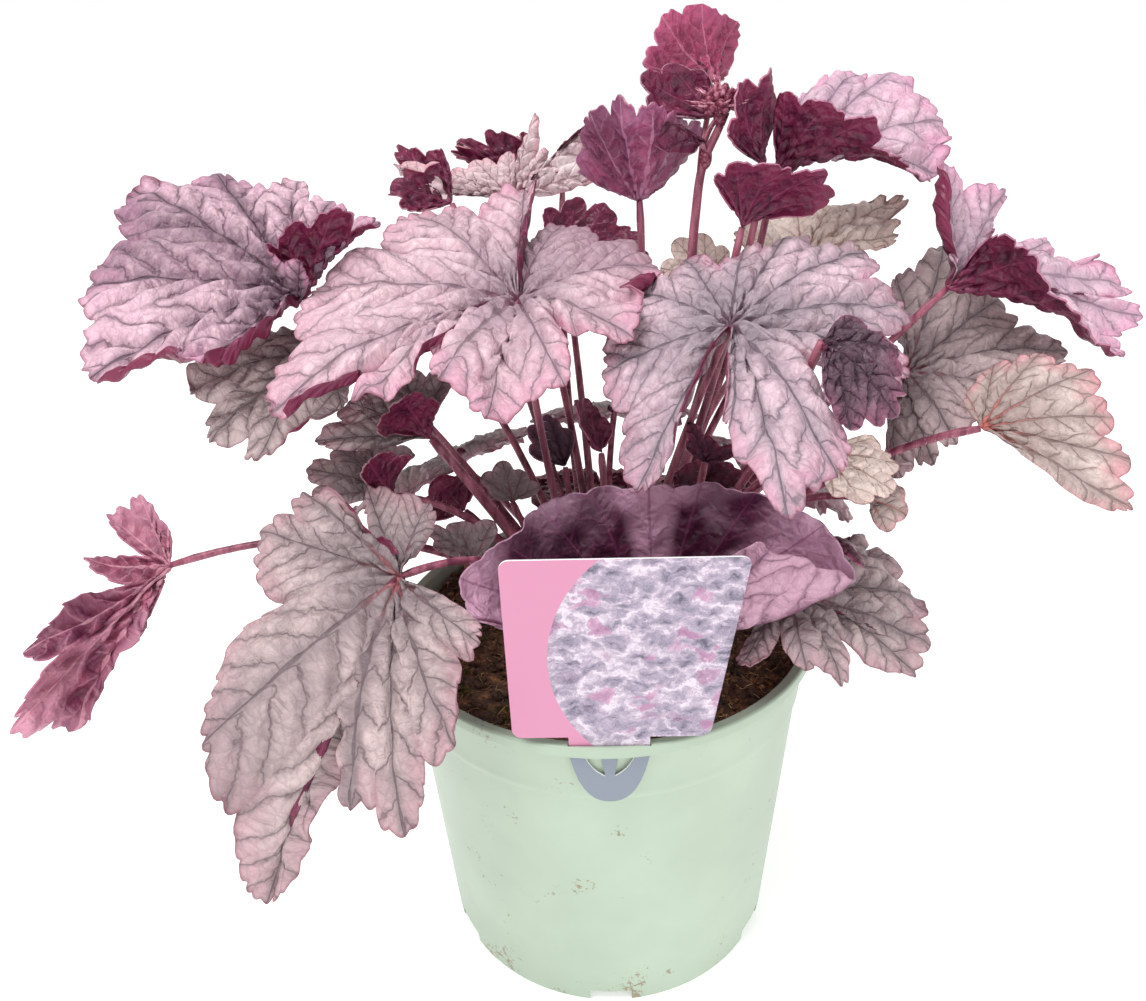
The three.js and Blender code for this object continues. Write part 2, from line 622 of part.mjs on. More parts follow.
// Where a leaf's stalk ends: just under the heart, at the open side of the blade.
function stalkEnd(surface) {
  const normal = new THREE.Vector3();
  const middle = new THREE.Vector3();
  for (let t = 0; t <= surface.last; t += 0.5) {
    normal.add(surface.normal(t));
    middle.add(surface.direction(t));
  }
  middle.divideScalar(2 * surface.last + 1);
  const away = normal.normalize().add(middle).normalize();
  const clear = BLADE / 2 + 1.3 * GAP + STALK.point;
  return surface.heart.clone().addScaledVector(away, -clear);
}

function stalk(end, elbow, foot, girth) {
  const route = new THREE.QuadraticBezierCurve3(foot, elbow, end).getPoints(STALK.steps);
  const radii = route.map((_, i) => girth * THREE.MathUtils.lerp(STALK.foot, STALK.tip, i / STALK.steps));
  const last = route.pop();
  const neck = route.at(-1).clone().sub(last).setLength(STALK.neck).add(last);
  radii.splice(-1, 1, girth * STALK.tip, STALK.point);
  return tube([...route, neck, last], radii, STALK.sides);
}

// The flower stem is a little thicker than a leaf stalk and carries the bud head.
const STEM = {
  foot: 1.9,
  tip: 1.2,
  route: [[6, 3, 121], [20, 12, 180], [29, 14, 235], [31, 12.5, 262], [32.5, 9.5, 278], [37, 6, 290]],
};

function crownAndStalks(surfaces) {
  const { radius, top, footholds } = CROWN;
  const foot = SOIL.top - SOIL.holeDepth + GAP;
  const outline = [
    [0, foot], [radius * 0.6, foot], [radius, SOIL.top - 8],
    [radius, SOIL.top + 2], [radius * 0.7, top - 2], [0, top],
  ];
  let body = solidFrom(turned(outline, 12));
  for (const [name, leaf] of Object.entries(LEAVES)) {
    const end = stalkEnd(surfaces[name]);
    const elbow = new THREE.Vector3(...leaf.elbow);
    const angle = Math.atan2(elbow.y, elbow.x);
    const onCrown = [footholds * Math.cos(angle), footholds * Math.sin(angle), SOIL.top];
    const foothold = new THREE.Vector3(...(leaf.root ?? onCrown));
    body = body.add(solidFrom(stalk(end, elbow, foothold, leaf.girth ?? 1)));
  }
  const knots = STEM.route.map((place) => new THREE.Vector3(...place));
  const stem = new THREE.CatmullRomCurve3(knots).getPoints(14);
  const stemRadii = stem.map((_, i) => THREE.MathUtils.lerp(STEM.foot, STEM.tip, i / (stem.length - 1)));
  body = body.add(solidFrom(tube(stem, stemRadii, 8)));
  return named('crown_stalks', geometryFrom(body), '#8e3a52', 0.6);
}

// The flower stem's tip: unopened buds packed round a small core, in a ring of pointed bracts.
const BUD_HEAD = {
  core: 3.4,
  neckLength: 2.4,
  buds: 14,
  budRadius: 1.7,
  budLength: 1.35, // times the radius
  bracts: 5,
  bractLength: 7.5,
  bractLean: 0.75, // radians from upright
  start: 0.7,
};

function budHead() {
  const { core, neckLength, buds, budRadius, budLength, bracts, bractLength } = BUD_HEAD;
  const middle = new THREE.Vector3(...STEM.route.at(-1));
  middle.add(new THREE.Vector3(0, -0.6, core + neckLength - GAP / 2));
  let body = solidFrom(new THREE.IcosahedronGeometry(core, 1).translate(...middle.toArray()));
  const neck = new THREE.CylinderGeometry(2 * STEM.tip, STEM.tip, neckLength, 8).rotateX(Math.PI / 2);
  body = body.add(solidFrom(neck.translate(middle.x, middle.y, middle.z - core - 0.2)));
  const golden = Math.PI * (3 - Math.sqrt(5));
  for (let i = 0; i < buds; i += 1) {
    const height = 1 - (1.35 * (i + 0.5)) / buds; // the lowest buds sit under the middle
    const across = Math.sqrt(1 - height * height);
    const out = new THREE.Vector3(across * Math.cos(golden * i), across * Math.sin(golden * i), height);
    const bud = new THREE.IcosahedronGeometry(budRadius, 0).scale(1, 1, budLength);
    const turn = new THREE.Quaternion().setFromUnitVectors(new THREE.Vector3(0, 0, 1), out);
    bud.applyQuaternion(turn).translate(...middle.clone().addScaledVector(out, core + 0.3).toArray());
    body = body.add(solidFrom(bud));
  }
  for (let i = 0; i < bracts; i += 1) {
    const bract = new THREE.ConeGeometry(budRadius, bractLength, 4).scale(1, 1, 0.5);
    bract.translate(0, bractLength / 2, 0).rotateX(BUD_HEAD.bractLean);
    bract.rotateZ((2 * Math.PI * i) / bracts + BUD_HEAD.start);
    body = body.add(solidFrom(bract.translate(middle.x, middle.y, middle.z - core)));
  }
  return named('bud_head', geometryFrom(body), '#7f2a44', 0.6);
}

// ---- assembly -----------------------------------------------------------------------------

const plant = new THREE.Group();
plant.add(pot(), soil(), label());

const surfaces = {};
for (const [name, leaf] of Object.entries(LEAVES)) {
  surfaces[name] = new LeafSurface(leaf);
  const { color, roughness } = TONE[leaf.tone];
  const teethPerLobe = leaf.teethPerLobe ?? (leaf.fan ? 2 : 3);
  plant.add(named(name, bladeGeometry(surfaces[name], teethPerLobe), color, roughness));
}
plant.add(crownAndStalks(surfaces), budHead());

export default plant;
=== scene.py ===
# A heuchera in its 15 cm nursery pot: ruffled plum, wine and silver-pink leaves on long hairy
# stalks, peat, a plant label pushed through the rim, and the head of a flower stem just opening.
# Metres, +Z up. The origin is the middle of the pot's foot, on the floor.
import math
from functools import partial

import bmesh
import bpy
import numpy as np
from mathutils import Matrix, Vector, noise


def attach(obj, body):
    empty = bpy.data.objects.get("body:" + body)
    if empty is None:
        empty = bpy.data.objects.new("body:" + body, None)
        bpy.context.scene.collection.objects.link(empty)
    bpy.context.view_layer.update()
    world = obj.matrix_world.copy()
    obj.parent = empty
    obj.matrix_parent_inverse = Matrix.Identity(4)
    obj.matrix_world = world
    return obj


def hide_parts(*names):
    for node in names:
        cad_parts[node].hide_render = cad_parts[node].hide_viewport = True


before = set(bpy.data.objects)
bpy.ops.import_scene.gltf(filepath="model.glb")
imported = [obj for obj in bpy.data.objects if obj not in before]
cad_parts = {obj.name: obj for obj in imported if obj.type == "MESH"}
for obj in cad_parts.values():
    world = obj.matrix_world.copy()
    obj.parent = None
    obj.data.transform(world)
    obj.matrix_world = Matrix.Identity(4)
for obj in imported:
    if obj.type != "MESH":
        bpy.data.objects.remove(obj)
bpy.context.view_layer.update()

MM = 0.001

# ---- Camera, light and floor -----------------------------------------------------------------
# The plant stands on a white floor under soft studio light, seen from in front and a little
# above, at arm's length.

CAMERA_PLACE = Vector((0, -0.2925, 0.3157))
CAMERA_PAN, CAMERA_TILT, CAMERA_ROLL = (math.radians(a) for a in (-1.889, 26.213, -1.994))
CAMERA_LENS = 29.84  # millimetres, on a sensor 36 mm wide


def camera_frame():
    """The camera's right, up and backward directions."""
    forward = Vector((
        math.sin(CAMERA_PAN) * math.cos(CAMERA_TILT),
        math.cos(CAMERA_PAN) * math.cos(CAMERA_TILT),
        -math.sin(CAMERA_TILT),
    ))
    level = Vector((math.cos(CAMERA_PAN), -math.sin(CAMERA_PAN), 0))
    right = level * math.cos(CAMERA_ROLL) + level.cross(forward) * math.sin(CAMERA_ROLL)
    return right, right.cross(forward), -forward


camera_data = bpy.data.cameras.new("camera")
camera_data.lens = CAMERA_LENS
camera_data.sensor_width = 36
camera_data.sensor_fit = "HORIZONTAL"
camera_data.clip_start = 0.01
camera = bpy.data.objects.new("camera", camera_data)
camera.matrix_world = Matrix.Translation(CAMERA_PLACE) @ Matrix(camera_frame()).transposed().to_4x4()
bpy.context.collection.objects.link(camera)
bpy.context.scene.camera = camera
bpy.context.scene.view_settings.view_transform = "Standard"

world = bpy.data.worlds.new("studio")
world.use_nodes = True
bpy.context.scene.world = world
# The room's light is softer than the white of the backdrop itself.
ROOM_LIGHT, BACKDROP = 0.77, 1.0
seen = world.node_tree.nodes.new("ShaderNodeLightPath")
strength = world.node_tree.nodes.new("ShaderNodeMapRange")
strength.inputs["To Min"].default_value = ROOM_LIGHT
strength.inputs["To Max"].default_value = BACKDROP
backdrop = world.node_tree.nodes["Background"]
backdrop.inputs["Color"].default_value = (1, 1, 1, 1)
world.node_tree.links.new(seen.outputs["Is Camera Ray"], strength.inputs["Value"])
world.node_tree.links.new(strength.outputs["Result"], backdrop.inputs["Strength"])


def soft_light(name, place, target, size, power):
    """A large square lamp that lights the plant from one side."""
    data = bpy.data.lights.new(name, "AREA")
    data.size = size
    data.energy = power
    lamp = bpy.data.objects.new(name, data)
    lamp.location = place
    lamp.rotation_euler = (Vector(target) - Vector(place)).to_track_quat("-Z", "Y").to_euler()
    bpy.context.collection.objects.link(lamp)


soft_light("key_light", (-0.5, -0.35, 1.3), (0, 0, 0.15), 0.6, 11)
soft_light("fill_light", (0.65, -1.05, 0.5), (0, 0, 0.2), 0.9, 3.2)

FLOOR_RADIUS, FLOOR_DROP = 4, 0.0002
floor_bm = bmesh.new()
bmesh.ops.create_circle(floor_bm, cap_ends=True, radius=FLOOR_RADIUS, segments=64)
floor_mesh = bpy.data.meshes.new("floor")
floor_bm.to_mesh(floor_mesh)
floor_bm.free()
floor = bpy.data.objects.new("floor", floor_mesh)
floor.location.z = -FLOOR_DROP
bpy.context.collection.objects.link(floor)
floor_finish = bpy.data.materials.new("white_paper_floor")
floor_finish.use_nodes = True
paper = floor_finish.node_tree.nodes["Principled BSDF"].inputs
paper["Base Color"].default_value = (0.93, 0.93, 0.93, 1)
paper["Roughness"].default_value = 0.9
# The paper is lit from below as well, as on a light table.
paper["Emission Color"].default_value = (1, 1, 1, 1)
paper["Emission Strength"].default_value = 0.38
floor_mesh.materials.append(floor_finish)

# ---- Pot -------------------------------------------------------------------------------------
# A thin-walled thermoformed nursery pot of pale green polypropylene, satin, with a turned-out
# lip, a faint step round the wall, six drain notches at the foot and peat dust near the foot.

POT_HEIGHT, POT_FOOT, POT_BAND, POT_BAND_HEIGHT = 127, 63, 70.4, 104
POT_LIP, POT_LIP_DROP, POT_WALL, POT_FLOOR, POT_STEP = 75, 4, 1.3, 7, 0.5
POT_LIP_ROUND = 0.9  # the radius of the lip's outer top edge
POT_STEPS, SHARP_ANGLE = 144, math.radians(38)
POT_NOTCHES, POT_NOTCH_WIDTH, POT_NOTCH_HEIGHT = 6, 15, 5
POT_HOLES, POT_HOLE_RADIUS, POT_HOLE_CIRCLE = 8, 4.5, 44
NOTCH_CUT, HOLE_CUT, SLOT_CUT = 12, 8, 12  # how far each cutter reaches through the plastic
LABEL_PLANE, LABEL_THICKNESS, TONGUE_LEFT, TONGUE_RIGHT = -72.7, 0.7, -11, 13
SLOT_PLAY = 0.35


def linear(code):
    """An sRGB hex colour as the linear values that a shader takes."""
    values = [int(code[i:i + 2], 16) / 255 for i in (0, 2, 4)]
    return [v / 12.92 if v <= 0.04045 else ((v + 0.055) / 1.055) ** 2.4 for v in values] + [1]


def set_inputs(node, inputs):
    """Gives a node's inputs their values. A socket is linked; a node stands for its first output."""
    for key, value in inputs.items():
        if isinstance(value, bpy.types.Node):
            value = value.outputs[0]
        if isinstance(value, bpy.types.NodeSocket):
            node.id_data.links.new(value, node.inputs[key])
        else:
            node.inputs[key].default_value = value


def add_node(tree, kind, inputs=None, stops=(), **settings):
    """Adds a shader node with its settings, its inputs and the stops of its colour ramp."""
    made = tree.nodes.new("ShaderNode" + kind)
    for name, value in settings.items():
        setattr(made, name, value)
    set_inputs(made, inputs or {})
    for k, (place, code) in enumerate(stops):
        stop = made.color_ramp.elements[k] if k < 2 else made.color_ramp.elements.new(place)
        stop.position, stop.color = place, linear(code)
    return made


def new_finish(name):
    """A new material's function that adds a node to it, its surface shader, and the material."""
    finish = bpy.data.materials.new(name)
    finish.use_nodes = True
    return partial(add_node, finish.node_tree), finish.node_tree.nodes["Principled BSDF"], finish


def shown_object(name, bm, *finishes, smooth=True):
    """A bmesh turned into an object at the origin with these materials."""
    mesh = bpy.data.meshes.new(name)
    bm.to_mesh(mesh)
    bm.free()
    for finish in finishes:
        mesh.materials.append(finish)
    if smooth:
        mesh.shade_smooth()
    made = bpy.data.objects.new(name, mesh)
    bpy.context.collection.objects.link(made)
    return made


def pot_radius(z):
    return POT_FOOT + (POT_BAND - POT_FOOT) * z / POT_BAND_HEIGHT


def pot_profile():
    """The wall's outline as (radius, height) points in mm, from the axis round and back."""
    under_lip = POT_HEIGHT - POT_LIP_DROP
    neck = pot_radius(under_lip) + POT_STEP
    inner_foot = pot_radius(POT_FLOOR) - POT_WALL
    lip_arc = [
        (POT_LIP + POT_LIP_ROUND * (math.cos(a) - 1), POT_HEIGHT + POT_LIP_ROUND * (math.sin(a) - 1))
        for a in np.radians((0, 22, 45, 68, 90))
    ]
    return [
        (0, POT_FLOOR), (inner_foot - 1, POT_FLOOR), (inner_foot, POT_FLOOR - 1),
        (POT_FOOT - POT_WALL, 0.3), (POT_FOOT - POT_WALL + 0.4, 0), (POT_FOOT - 0.5, 0), (POT_FOOT, 0.5),
        (POT_BAND - 0.3, POT_BAND_HEIGHT - 1.2), (POT_BAND, POT_BAND_HEIGHT),
        (POT_BAND + POT_STEP, POT_BAND_HEIGHT + 1), (POT_BAND + POT_STEP + 0.1, POT_BAND_HEIGHT + 2.5),
        (neck - 0.1, under_lip - 0.9), (neck + 0.5, under_lip - 0.2), (neck + 1.2, under_lip),
        (POT_LIP - 0.5, under_lip), (POT_LIP, under_lip + 0.5), *lip_arc,
        (neck + 1.6, POT_HEIGHT), (neck + 0.4, POT_HEIGHT - 0.35), (neck - 0.4, POT_HEIGHT - 0.3),
        (neck - 1.0, POT_HEIGHT - 0.6), (neck - POT_WALL, POT_HEIGHT - 1.3),
        (neck - POT_WALL - 0.2, under_lip), (POT_BAND - POT_WALL, POT_BAND_HEIGHT),
        (inner_foot, POT_FLOOR + POT_WALL + 1), (inner_foot - 1, POT_FLOOR + POT_WALL),
        (0, POT_FLOOR + POT_WALL),
    ]


def turned(profile, steps):
    """A bmesh of an outline of (radius, height) points in mm, spun about the Z axis."""
    bm = bmesh.new()
    points = [bm.verts.new((r * MM, 0, z * MM)) for r, z in profile]
    edges = [bm.edges.new(pair) for pair in zip(points, points[1:])]
    bmesh.ops.spin(
        bm, geom=points + edges, cent=(0, 0, 0), axis=(0, 0, 1), angle=2 * math.pi, steps=steps,
        use_merge=True,
    )
    bmesh.ops.remove_doubles(bm, verts=bm.verts, dist=1e-6)
    bmesh.ops.recalc_face_normals(bm, faces=bm.faces)
    return bm


pot = shown_object("pot_shell", turned(pot_profile(), POT_STEPS))
cutter_bm = bmesh.new()
for k in range(POT_NOTCHES):
    turn = Matrix.Rotation(2 * math.pi * k / POT_NOTCHES - math.pi / 2, 4, "Z")
    place = turn @ Matrix.Translation((POT_FOOT * MM, 0, 0))
    size = Matrix.Diagonal((NOTCH_CUT * MM, POT_NOTCH_WIDTH * MM, 2 * POT_NOTCH_HEIGHT * MM, 1))
    bmesh.ops.create_cube(cutter_bm, size=1, matrix=place @ size)
for k in range(POT_HOLES):
    angle = 2 * math.pi * (k + 0.5) / POT_HOLES
    place = Vector((math.cos(angle), math.sin(angle), 0)) * POT_HOLE_CIRCLE * MM
    place.z = POT_FLOOR * MM
    bmesh.ops.create_cone(
        cutter_bm, cap_ends=True, segments=24, radius1=POT_HOLE_RADIUS * MM, radius2=POT_HOLE_RADIUS * MM,
        depth=HOLE_CUT * MM, matrix=Matrix.Translation(place),
    )
slot_width = (TONGUE_RIGHT - TONGUE_LEFT + 2 * SLOT_PLAY) * MM
slot_place = Vector((TONGUE_RIGHT + TONGUE_LEFT, 2 * LABEL_PLANE, 2 * POT_HEIGHT)) * MM / 2
slot_size = Matrix.Diagonal((slot_width, (LABEL_THICKNESS + 2 * SLOT_PLAY) * MM, SLOT_CUT * MM, 1))
bmesh.ops.create_cube(cutter_bm, size=1, matrix=Matrix.Translation(slot_place) @ slot_size)
cutter = shown_object("pot_cutter", cutter_bm, smooth=False)
cut = pot.modifiers.new("cut", "BOOLEAN")
cut.operation = "DIFFERENCE"
cut.solver = "EXACT"
cut.object = cutter
cut_pot = pot.evaluated_get(bpy.context.evaluated_depsgraph_get())
pot.data = bpy.data.meshes.new_from_object(cut_pot)
pot.modifiers.clear()
bpy.data.objects.remove(cutter)
pot.data.shade_smooth()
pot.data.set_sharp_from_angle(angle=SHARP_ANGLE)

# Thermoformed polypropylene: evenly coloured, with a soft broad sheen and slight cloudiness.
node, shader, pot_finish = new_finish("thermoformed_polypropylene")
coords = node("TexCoord").outputs["Object"]
cloud = node("TexNoise", {"Vector": coords, "Scale": 22.0, "Detail": 3.0, "Roughness": 0.6})
green = node("ValToRGB", {"Fac": cloud}, ((0.32, "A6B6A3"), (0.7, "B0C1AD")))
# Peat dust clings in specks near the foot and thins out upwards.
height = node("SeparateXYZ", {"Vector": coords}).outputs["Z"]
dust_low = node("MapRange", {"Value": height, "From Max": 0.022, "To Min": 0.085, "To Max": 0.0})
dust_noise = node("TexNoise", {"Vector": coords, "Scale": 520.0, "Detail": 4.0, "Roughness": 0.7})
dust_patch = node("TexNoise", {"Vector": coords, "Scale": 60.0, "Detail": 2.0})
dust_sum = node("Math", {0: dust_noise, 1: dust_patch}, operation="MULTIPLY")
dust_near = node("Math", {0: dust_sum, 1: dust_low}, operation="ADD")
dust = node("MapRange", {"Value": dust_near, "From Min": 0.40, "From Max": 0.44})
dusty = node("Mix", {"Factor": dust, 6: green, 7: linear("8C8168")}, data_type="RGBA")
grain = node("TexNoise", {"Vector": coords, "Scale": 900.0, "Detail": 2.0})
bump = node("Bump", {"Height": grain, "Strength": 0.12, "Distance": 0.0002})
set_inputs(shader, {"Base Color": dusty.outputs[2], "Normal": bump, "Roughness": 0.38, "IOR": 1.49})
pot.data.materials.clear()
pot.data.materials.append(pot_finish)
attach(pot, "root")
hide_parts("pot")

# ---- Soil ------------------------------------------------------------------------------------
# Fibrous dark peat that fills the pot to just under its lip, with coarse crumbs, ginger root
# fibres and a few tufts of moss.

SOIL_TOP = 121
SOIL_STEPS = 180
SOIL_HOLE = 12.2  # the radius of the hole that the crown stands in
CRUMBS, FIBRES, MOSS_TUFTS, MOSS_SHOOTS = 2600, 1000, 30, 22
CRUMB_SIZES = (0.5, 1.9)
FIBRE_RADII = (0.15, 0.14, 0.12, 0.05)
MOSS_FOOT, MOSS_TIP, MOSS_SPREAD = 0.35, 0.05, 1.6
BATCH_FACES = 1500


def soil_height(x, y):
    """The height in mm of the peat at a place in mm, without its crumbs."""
    wave = 1.1 * math.sin(x / 7) * math.cos(y / 9) + 0.7 * math.sin((x + y) / 4.3)
    return SOIL_TOP + wave


soil_rim = pot_radius(SOIL_TOP) - POT_WALL + 0.1
soil_base = POT_FLOOR + POT_WALL + 0.3
rings = [(r, SOIL_TOP) for r in np.arange(soil_rim, SOIL_HOLE - 5, -1.5)]
soil_bm = turned([
    (0, soil_base), (pot_radius(soil_base) - POT_WALL - 0.9, soil_base),
    (POT_BAND - POT_WALL - 0.4, POT_BAND_HEIGHT), *rings, (0, SOIL_TOP),
], SOIL_STEPS)
for v in soil_bm.verts:
    if v.co.z > (SOIL_TOP - 0.5) * MM:
        x, y = v.co.x / MM, v.co.y / MM
        lumps = 1.5 * noise.noise(Vector((x, y, 0)) / 5.5) + 1.1 * noise.noise(Vector((x, y, 9)) / 2.3)
        edge_dip = 1.5 * max(0, math.hypot(x, y) / soil_rim - 0.93) / 0.07
        v.co.z = (soil_height(x, y) + lumps - edge_dip) * MM

rng = np.random.default_rng(41)


def scatter_place(inner, outer):
    """A random place between two radii in mm."""
    radius = math.sqrt(rng.uniform(inner ** 2, outer ** 2))
    angle = rng.uniform(0, 2 * math.pi)
    return radius * math.cos(angle), radius * math.sin(angle)


def random_turn():
    return Matrix.Rotation(rng.uniform(0, 6.28), 4, Vector(rng.normal(size=3)).normalized())


class Heap:
    """Gathers many small shapes, made in small batches as operators slow down in a large mesh."""

    def __init__(self):
        self.whole, self.batch = bmesh.new(), bmesh.new()

    def room(self):
        """The batch to make the next shape in."""
        if len(self.batch.faces) > BATCH_FACES:
            self.gathered()
        return self.batch

    def gathered(self):
        """All the shapes made so far, in one bmesh."""
        mesh = bpy.data.meshes.new("batch")
        self.batch.to_mesh(mesh)
        self.batch.clear()
        self.whole.from_mesh(mesh)
        bpy.data.meshes.remove(mesh)
        return self.whole


def mottled_finish(name, scale, detail, stops, dullness, roughness=0.5, stretch=(1, 1, 1)):
    """A material whose colour wanders between its stops as a noise of this scale does."""
    node, shader, finish = new_finish(name)
    coords = node("TexCoord").outputs["Object"]
    along = node("Mapping", {"Vector": coords, "Scale": stretch})
    mottle = node("TexNoise", {"Vector": along, "Scale": scale, "Detail": detail, "Roughness": roughness})
    colour = node("ValToRGB", {"Fac": mottle}, stops)
    set_inputs(shader, {"Base Color": colour, "Roughness": dullness})
    return finish


crumb_heap = Heap()
for _ in range(CRUMBS):
    x, y = scatter_place(14, soil_rim - 1)
    size = rng.uniform(*CRUMB_SIZES) * MM
    place = Matrix.Translation(Vector((x, y, soil_height(x, y) + rng.uniform(-0.4, 1.0))) * MM)
    shape = Matrix.Diagonal((size, size * rng.uniform(0.5, 1), size * rng.uniform(0.4, 0.9), 1))
    bmesh.ops.create_icosphere(
        crumb_heap.room(), subdivisions=1, radius=1, matrix=place @ random_turn() @ shape
    )
crumb_mesh = bpy.data.meshes.new("crumbs")
crumb_heap.gathered().to_mesh(crumb_mesh)
soil_bm.from_mesh(crumb_mesh)
# Peat: dull, nearly black when damp, with rusty and straw flecks where fibres catch the light.
peat_stops = ((0.38, "2C1F1A"), (0.54, "6A4C3A"), (0.61, "96693F"), (0.7, "D0B080"))
peat_finish = mottled_finish("damp_peat", 150.0, 6.0, peat_stops, 0.85, roughness=0.8)
soil = shown_object("peat", soil_bm, peat_finish, smooth=False)
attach(soil, "root")
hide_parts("soil")


def strand(heap, points, radii, sides):
    """A closed tapering strand through points in metres: a cone for each stretch."""
    for start, end, thick, thin in zip(points, points[1:], radii, radii[1:]):
        along = end - start
        if along.length < 1e-7:
            continue
        turn = along.to_track_quat("Z", "Y").to_matrix().to_4x4()
        bmesh.ops.create_cone(
            heap.room(), cap_ends=True, segments=sides, radius1=thick, radius2=thin,
            depth=along.length * 1.04, matrix=Matrix.Translation((start + end) / 2) @ turn,
        )


fibre_heap = Heap()
for _ in range(FIBRES):
    x, y = scatter_place(16, soil_rim - 2)
    heading = rng.uniform(0, 2 * math.pi)
    points = []
    for _ in FIBRE_RADII:
        lift = rng.uniform(-0.2, 1.7)
        points.append(Vector((x, y, soil_height(x, y) + lift)) * MM)
        heading += rng.normal(0, 0.7)
        step = rng.uniform(0.8, 2.4)
        x, y = x + step * math.cos(heading), y + step * math.sin(heading)
        reach = math.hypot(x, y) / (soil_rim - 1)
        if reach > 1:
            x, y = x / reach, y / reach
    strand(fibre_heap, points, [radius * MM for radius in FIBRE_RADII], 3)
# Dry root fibre: matt, from ginger to straw.
fibre_finish = mottled_finish("dry_root_fibre", 140.0, 2.0, ((0.38, "6E4A2C"), (0.6, "D2AC76")), 0.8)
fibres = shown_object("peat_fibres", fibre_heap.gathered(), fibre_finish, smooth=False)
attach(fibres, "root")

moss_heap = Heap()
for _ in range(MOSS_TUFTS):
    x, y = scatter_place(35, soil_rim - 4)
    for _ in range(MOSS_SHOOTS):
        px, py = x + rng.normal(0, MOSS_SPREAD), y + rng.normal(0, MOSS_SPREAD)
        foot = Vector((px, py, soil_height(px, py) - 0.2)) * MM
        lean = Vector((rng.normal(0, 0.5), rng.normal(0, 0.5), 1)).normalized()
        tip = foot + lean * rng.uniform(1.2, 2.6) * MM
        strand(moss_heap, [foot, tip], [MOSS_FOOT * MM, MOSS_TIP * MM], 4)
# Moss: short matt shoots, from olive to yellow-green.
moss_finish = mottled_finish("moss_shoots", 320.0, 2.0, ((0.4, "4C4A1E"), (0.62, "8C8436")), 0.8)
moss = shown_object("moss", moss_heap.gathered(), moss_finish, smooth=False)
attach(moss, "root")

# ---- Label -----------------------------------------------------------------------------------
# A card of stiff printed polystyrene sheet. Its tongue goes down through the slot in the lip and
# shows below it. Its back and cut edge are bare white. The face has a pink band and a picture,
# and the tongue is printed plain grey.

LABEL_LEFT, LABEL_RIGHT, LABEL_BOTTOM, LABEL_TOP, TONGUE_BOTTOM = -28, 40, 130, 190, 105
LABEL_ROUND = 3
LABEL_SLANT = 9.4  # the right side comes in this far at the bottom


def outline_curve(data, anchors):
    """Adds a closed outline. An anchor is (x, z) for a corner or (x, z, in, out) with handles."""
    spline = data.splines.new("BEZIER")
    spline.bezier_points.add(len(anchors) - 1)
    spline.use_cyclic_u = True
    spline.resolution_u = 8
    for point, anchor in zip(spline.bezier_points, anchors):
        place = Vector((anchor[0], anchor[1], 0)) * MM
        before, after = (anchor[2], anchor[3]) if len(anchor) > 2 else ((0, 0), (0, 0))
        point.co = place
        point.handle_left = place + Vector((*before, 0)) * MM
        point.handle_right = place + Vector((*after, 0)) * MM


label_curve = bpy.data.curves.new("label", "CURVE")
label_curve.dimensions = "2D"
label_curve.fill_mode = "BOTH"
label_curve.extrude = LABEL_THICKNESS / 2 * MM
sill = POT_HEIGHT - POT_LIP_DROP
middle = (TONGUE_LEFT + TONGUE_RIGHT) / 2
bend = LABEL_ROUND * 0.55
outline_curve(label_curve, [
    (TONGUE_LEFT, LABEL_BOTTOM),
    (LABEL_LEFT + 0.5 + LABEL_ROUND, LABEL_BOTTOM, (0, 0), (-bend, 0)),
    (LABEL_LEFT + 0.5, LABEL_BOTTOM + LABEL_ROUND, (0, -bend), (0, 0)),
    (LABEL_LEFT, LABEL_TOP - LABEL_ROUND, (0, 0), (0, bend)),
    (LABEL_LEFT + LABEL_ROUND, LABEL_TOP, (-bend, 0), (0, 0)),
    (LABEL_RIGHT - LABEL_ROUND, LABEL_TOP, (0, 0), (bend, 0)),
    (LABEL_RIGHT - 0.5, LABEL_TOP - LABEL_ROUND, (0.4, bend), (0, 0)),
    (LABEL_RIGHT - LABEL_SLANT + 0.4, LABEL_BOTTOM + LABEL_ROUND, (0, 0), (-0.3, -bend)),
    (LABEL_RIGHT - LABEL_SLANT - LABEL_ROUND, LABEL_BOTTOM, (bend, 0), (0, 0)),
    (TONGUE_RIGHT, LABEL_BOTTOM),
    (TONGUE_RIGHT, sill, (0, 0), (-3, -16)),
    (middle, TONGUE_BOTTOM, (4, 0), (-4, 0)),
    (TONGUE_LEFT, sill, (3, -16), (0, 0)),
])
for side in (-1, 1):
    outline_curve(label_curve, [
        (middle + side * 2.6, sill - 0.4),
        (middle + side * 1.4, sill - 8.0, (0, 0), (side * 2.7, 1.4)),
        (middle + side * 7.4, sill - 0.4, (-side * 1.2, -3.6), (0, 0)),
    ])


def mesh_of(curve):
    """A bmesh of a curve's surface, closed and with its faces outwards."""
    source = bpy.data.objects.new("curve_source", curve)
    bpy.context.collection.objects.link(source)
    bpy.context.view_layer.update()
    bm = bmesh.new()
    bm.from_mesh(bpy.data.meshes.new_from_object(source))
    bpy.data.objects.remove(source)
    bmesh.ops.remove_doubles(bm, verts=bm.verts, dist=1e-6)
    bmesh.ops.recalc_face_normals(bm, faces=bm.faces)
    return bm


label_bm = mesh_of(label_curve)
upright = Matrix.Translation((0, LABEL_PLANE * MM, 0)) @ Matrix.Rotation(math.pi / 2, 4, "X")
bmesh.ops.transform(label_bm, matrix=upright, verts=label_bm.verts)
label_bm.normal_update()
for face in label_bm.faces:
    face.material_index = 0 if face.normal.y < -0.9 else 1

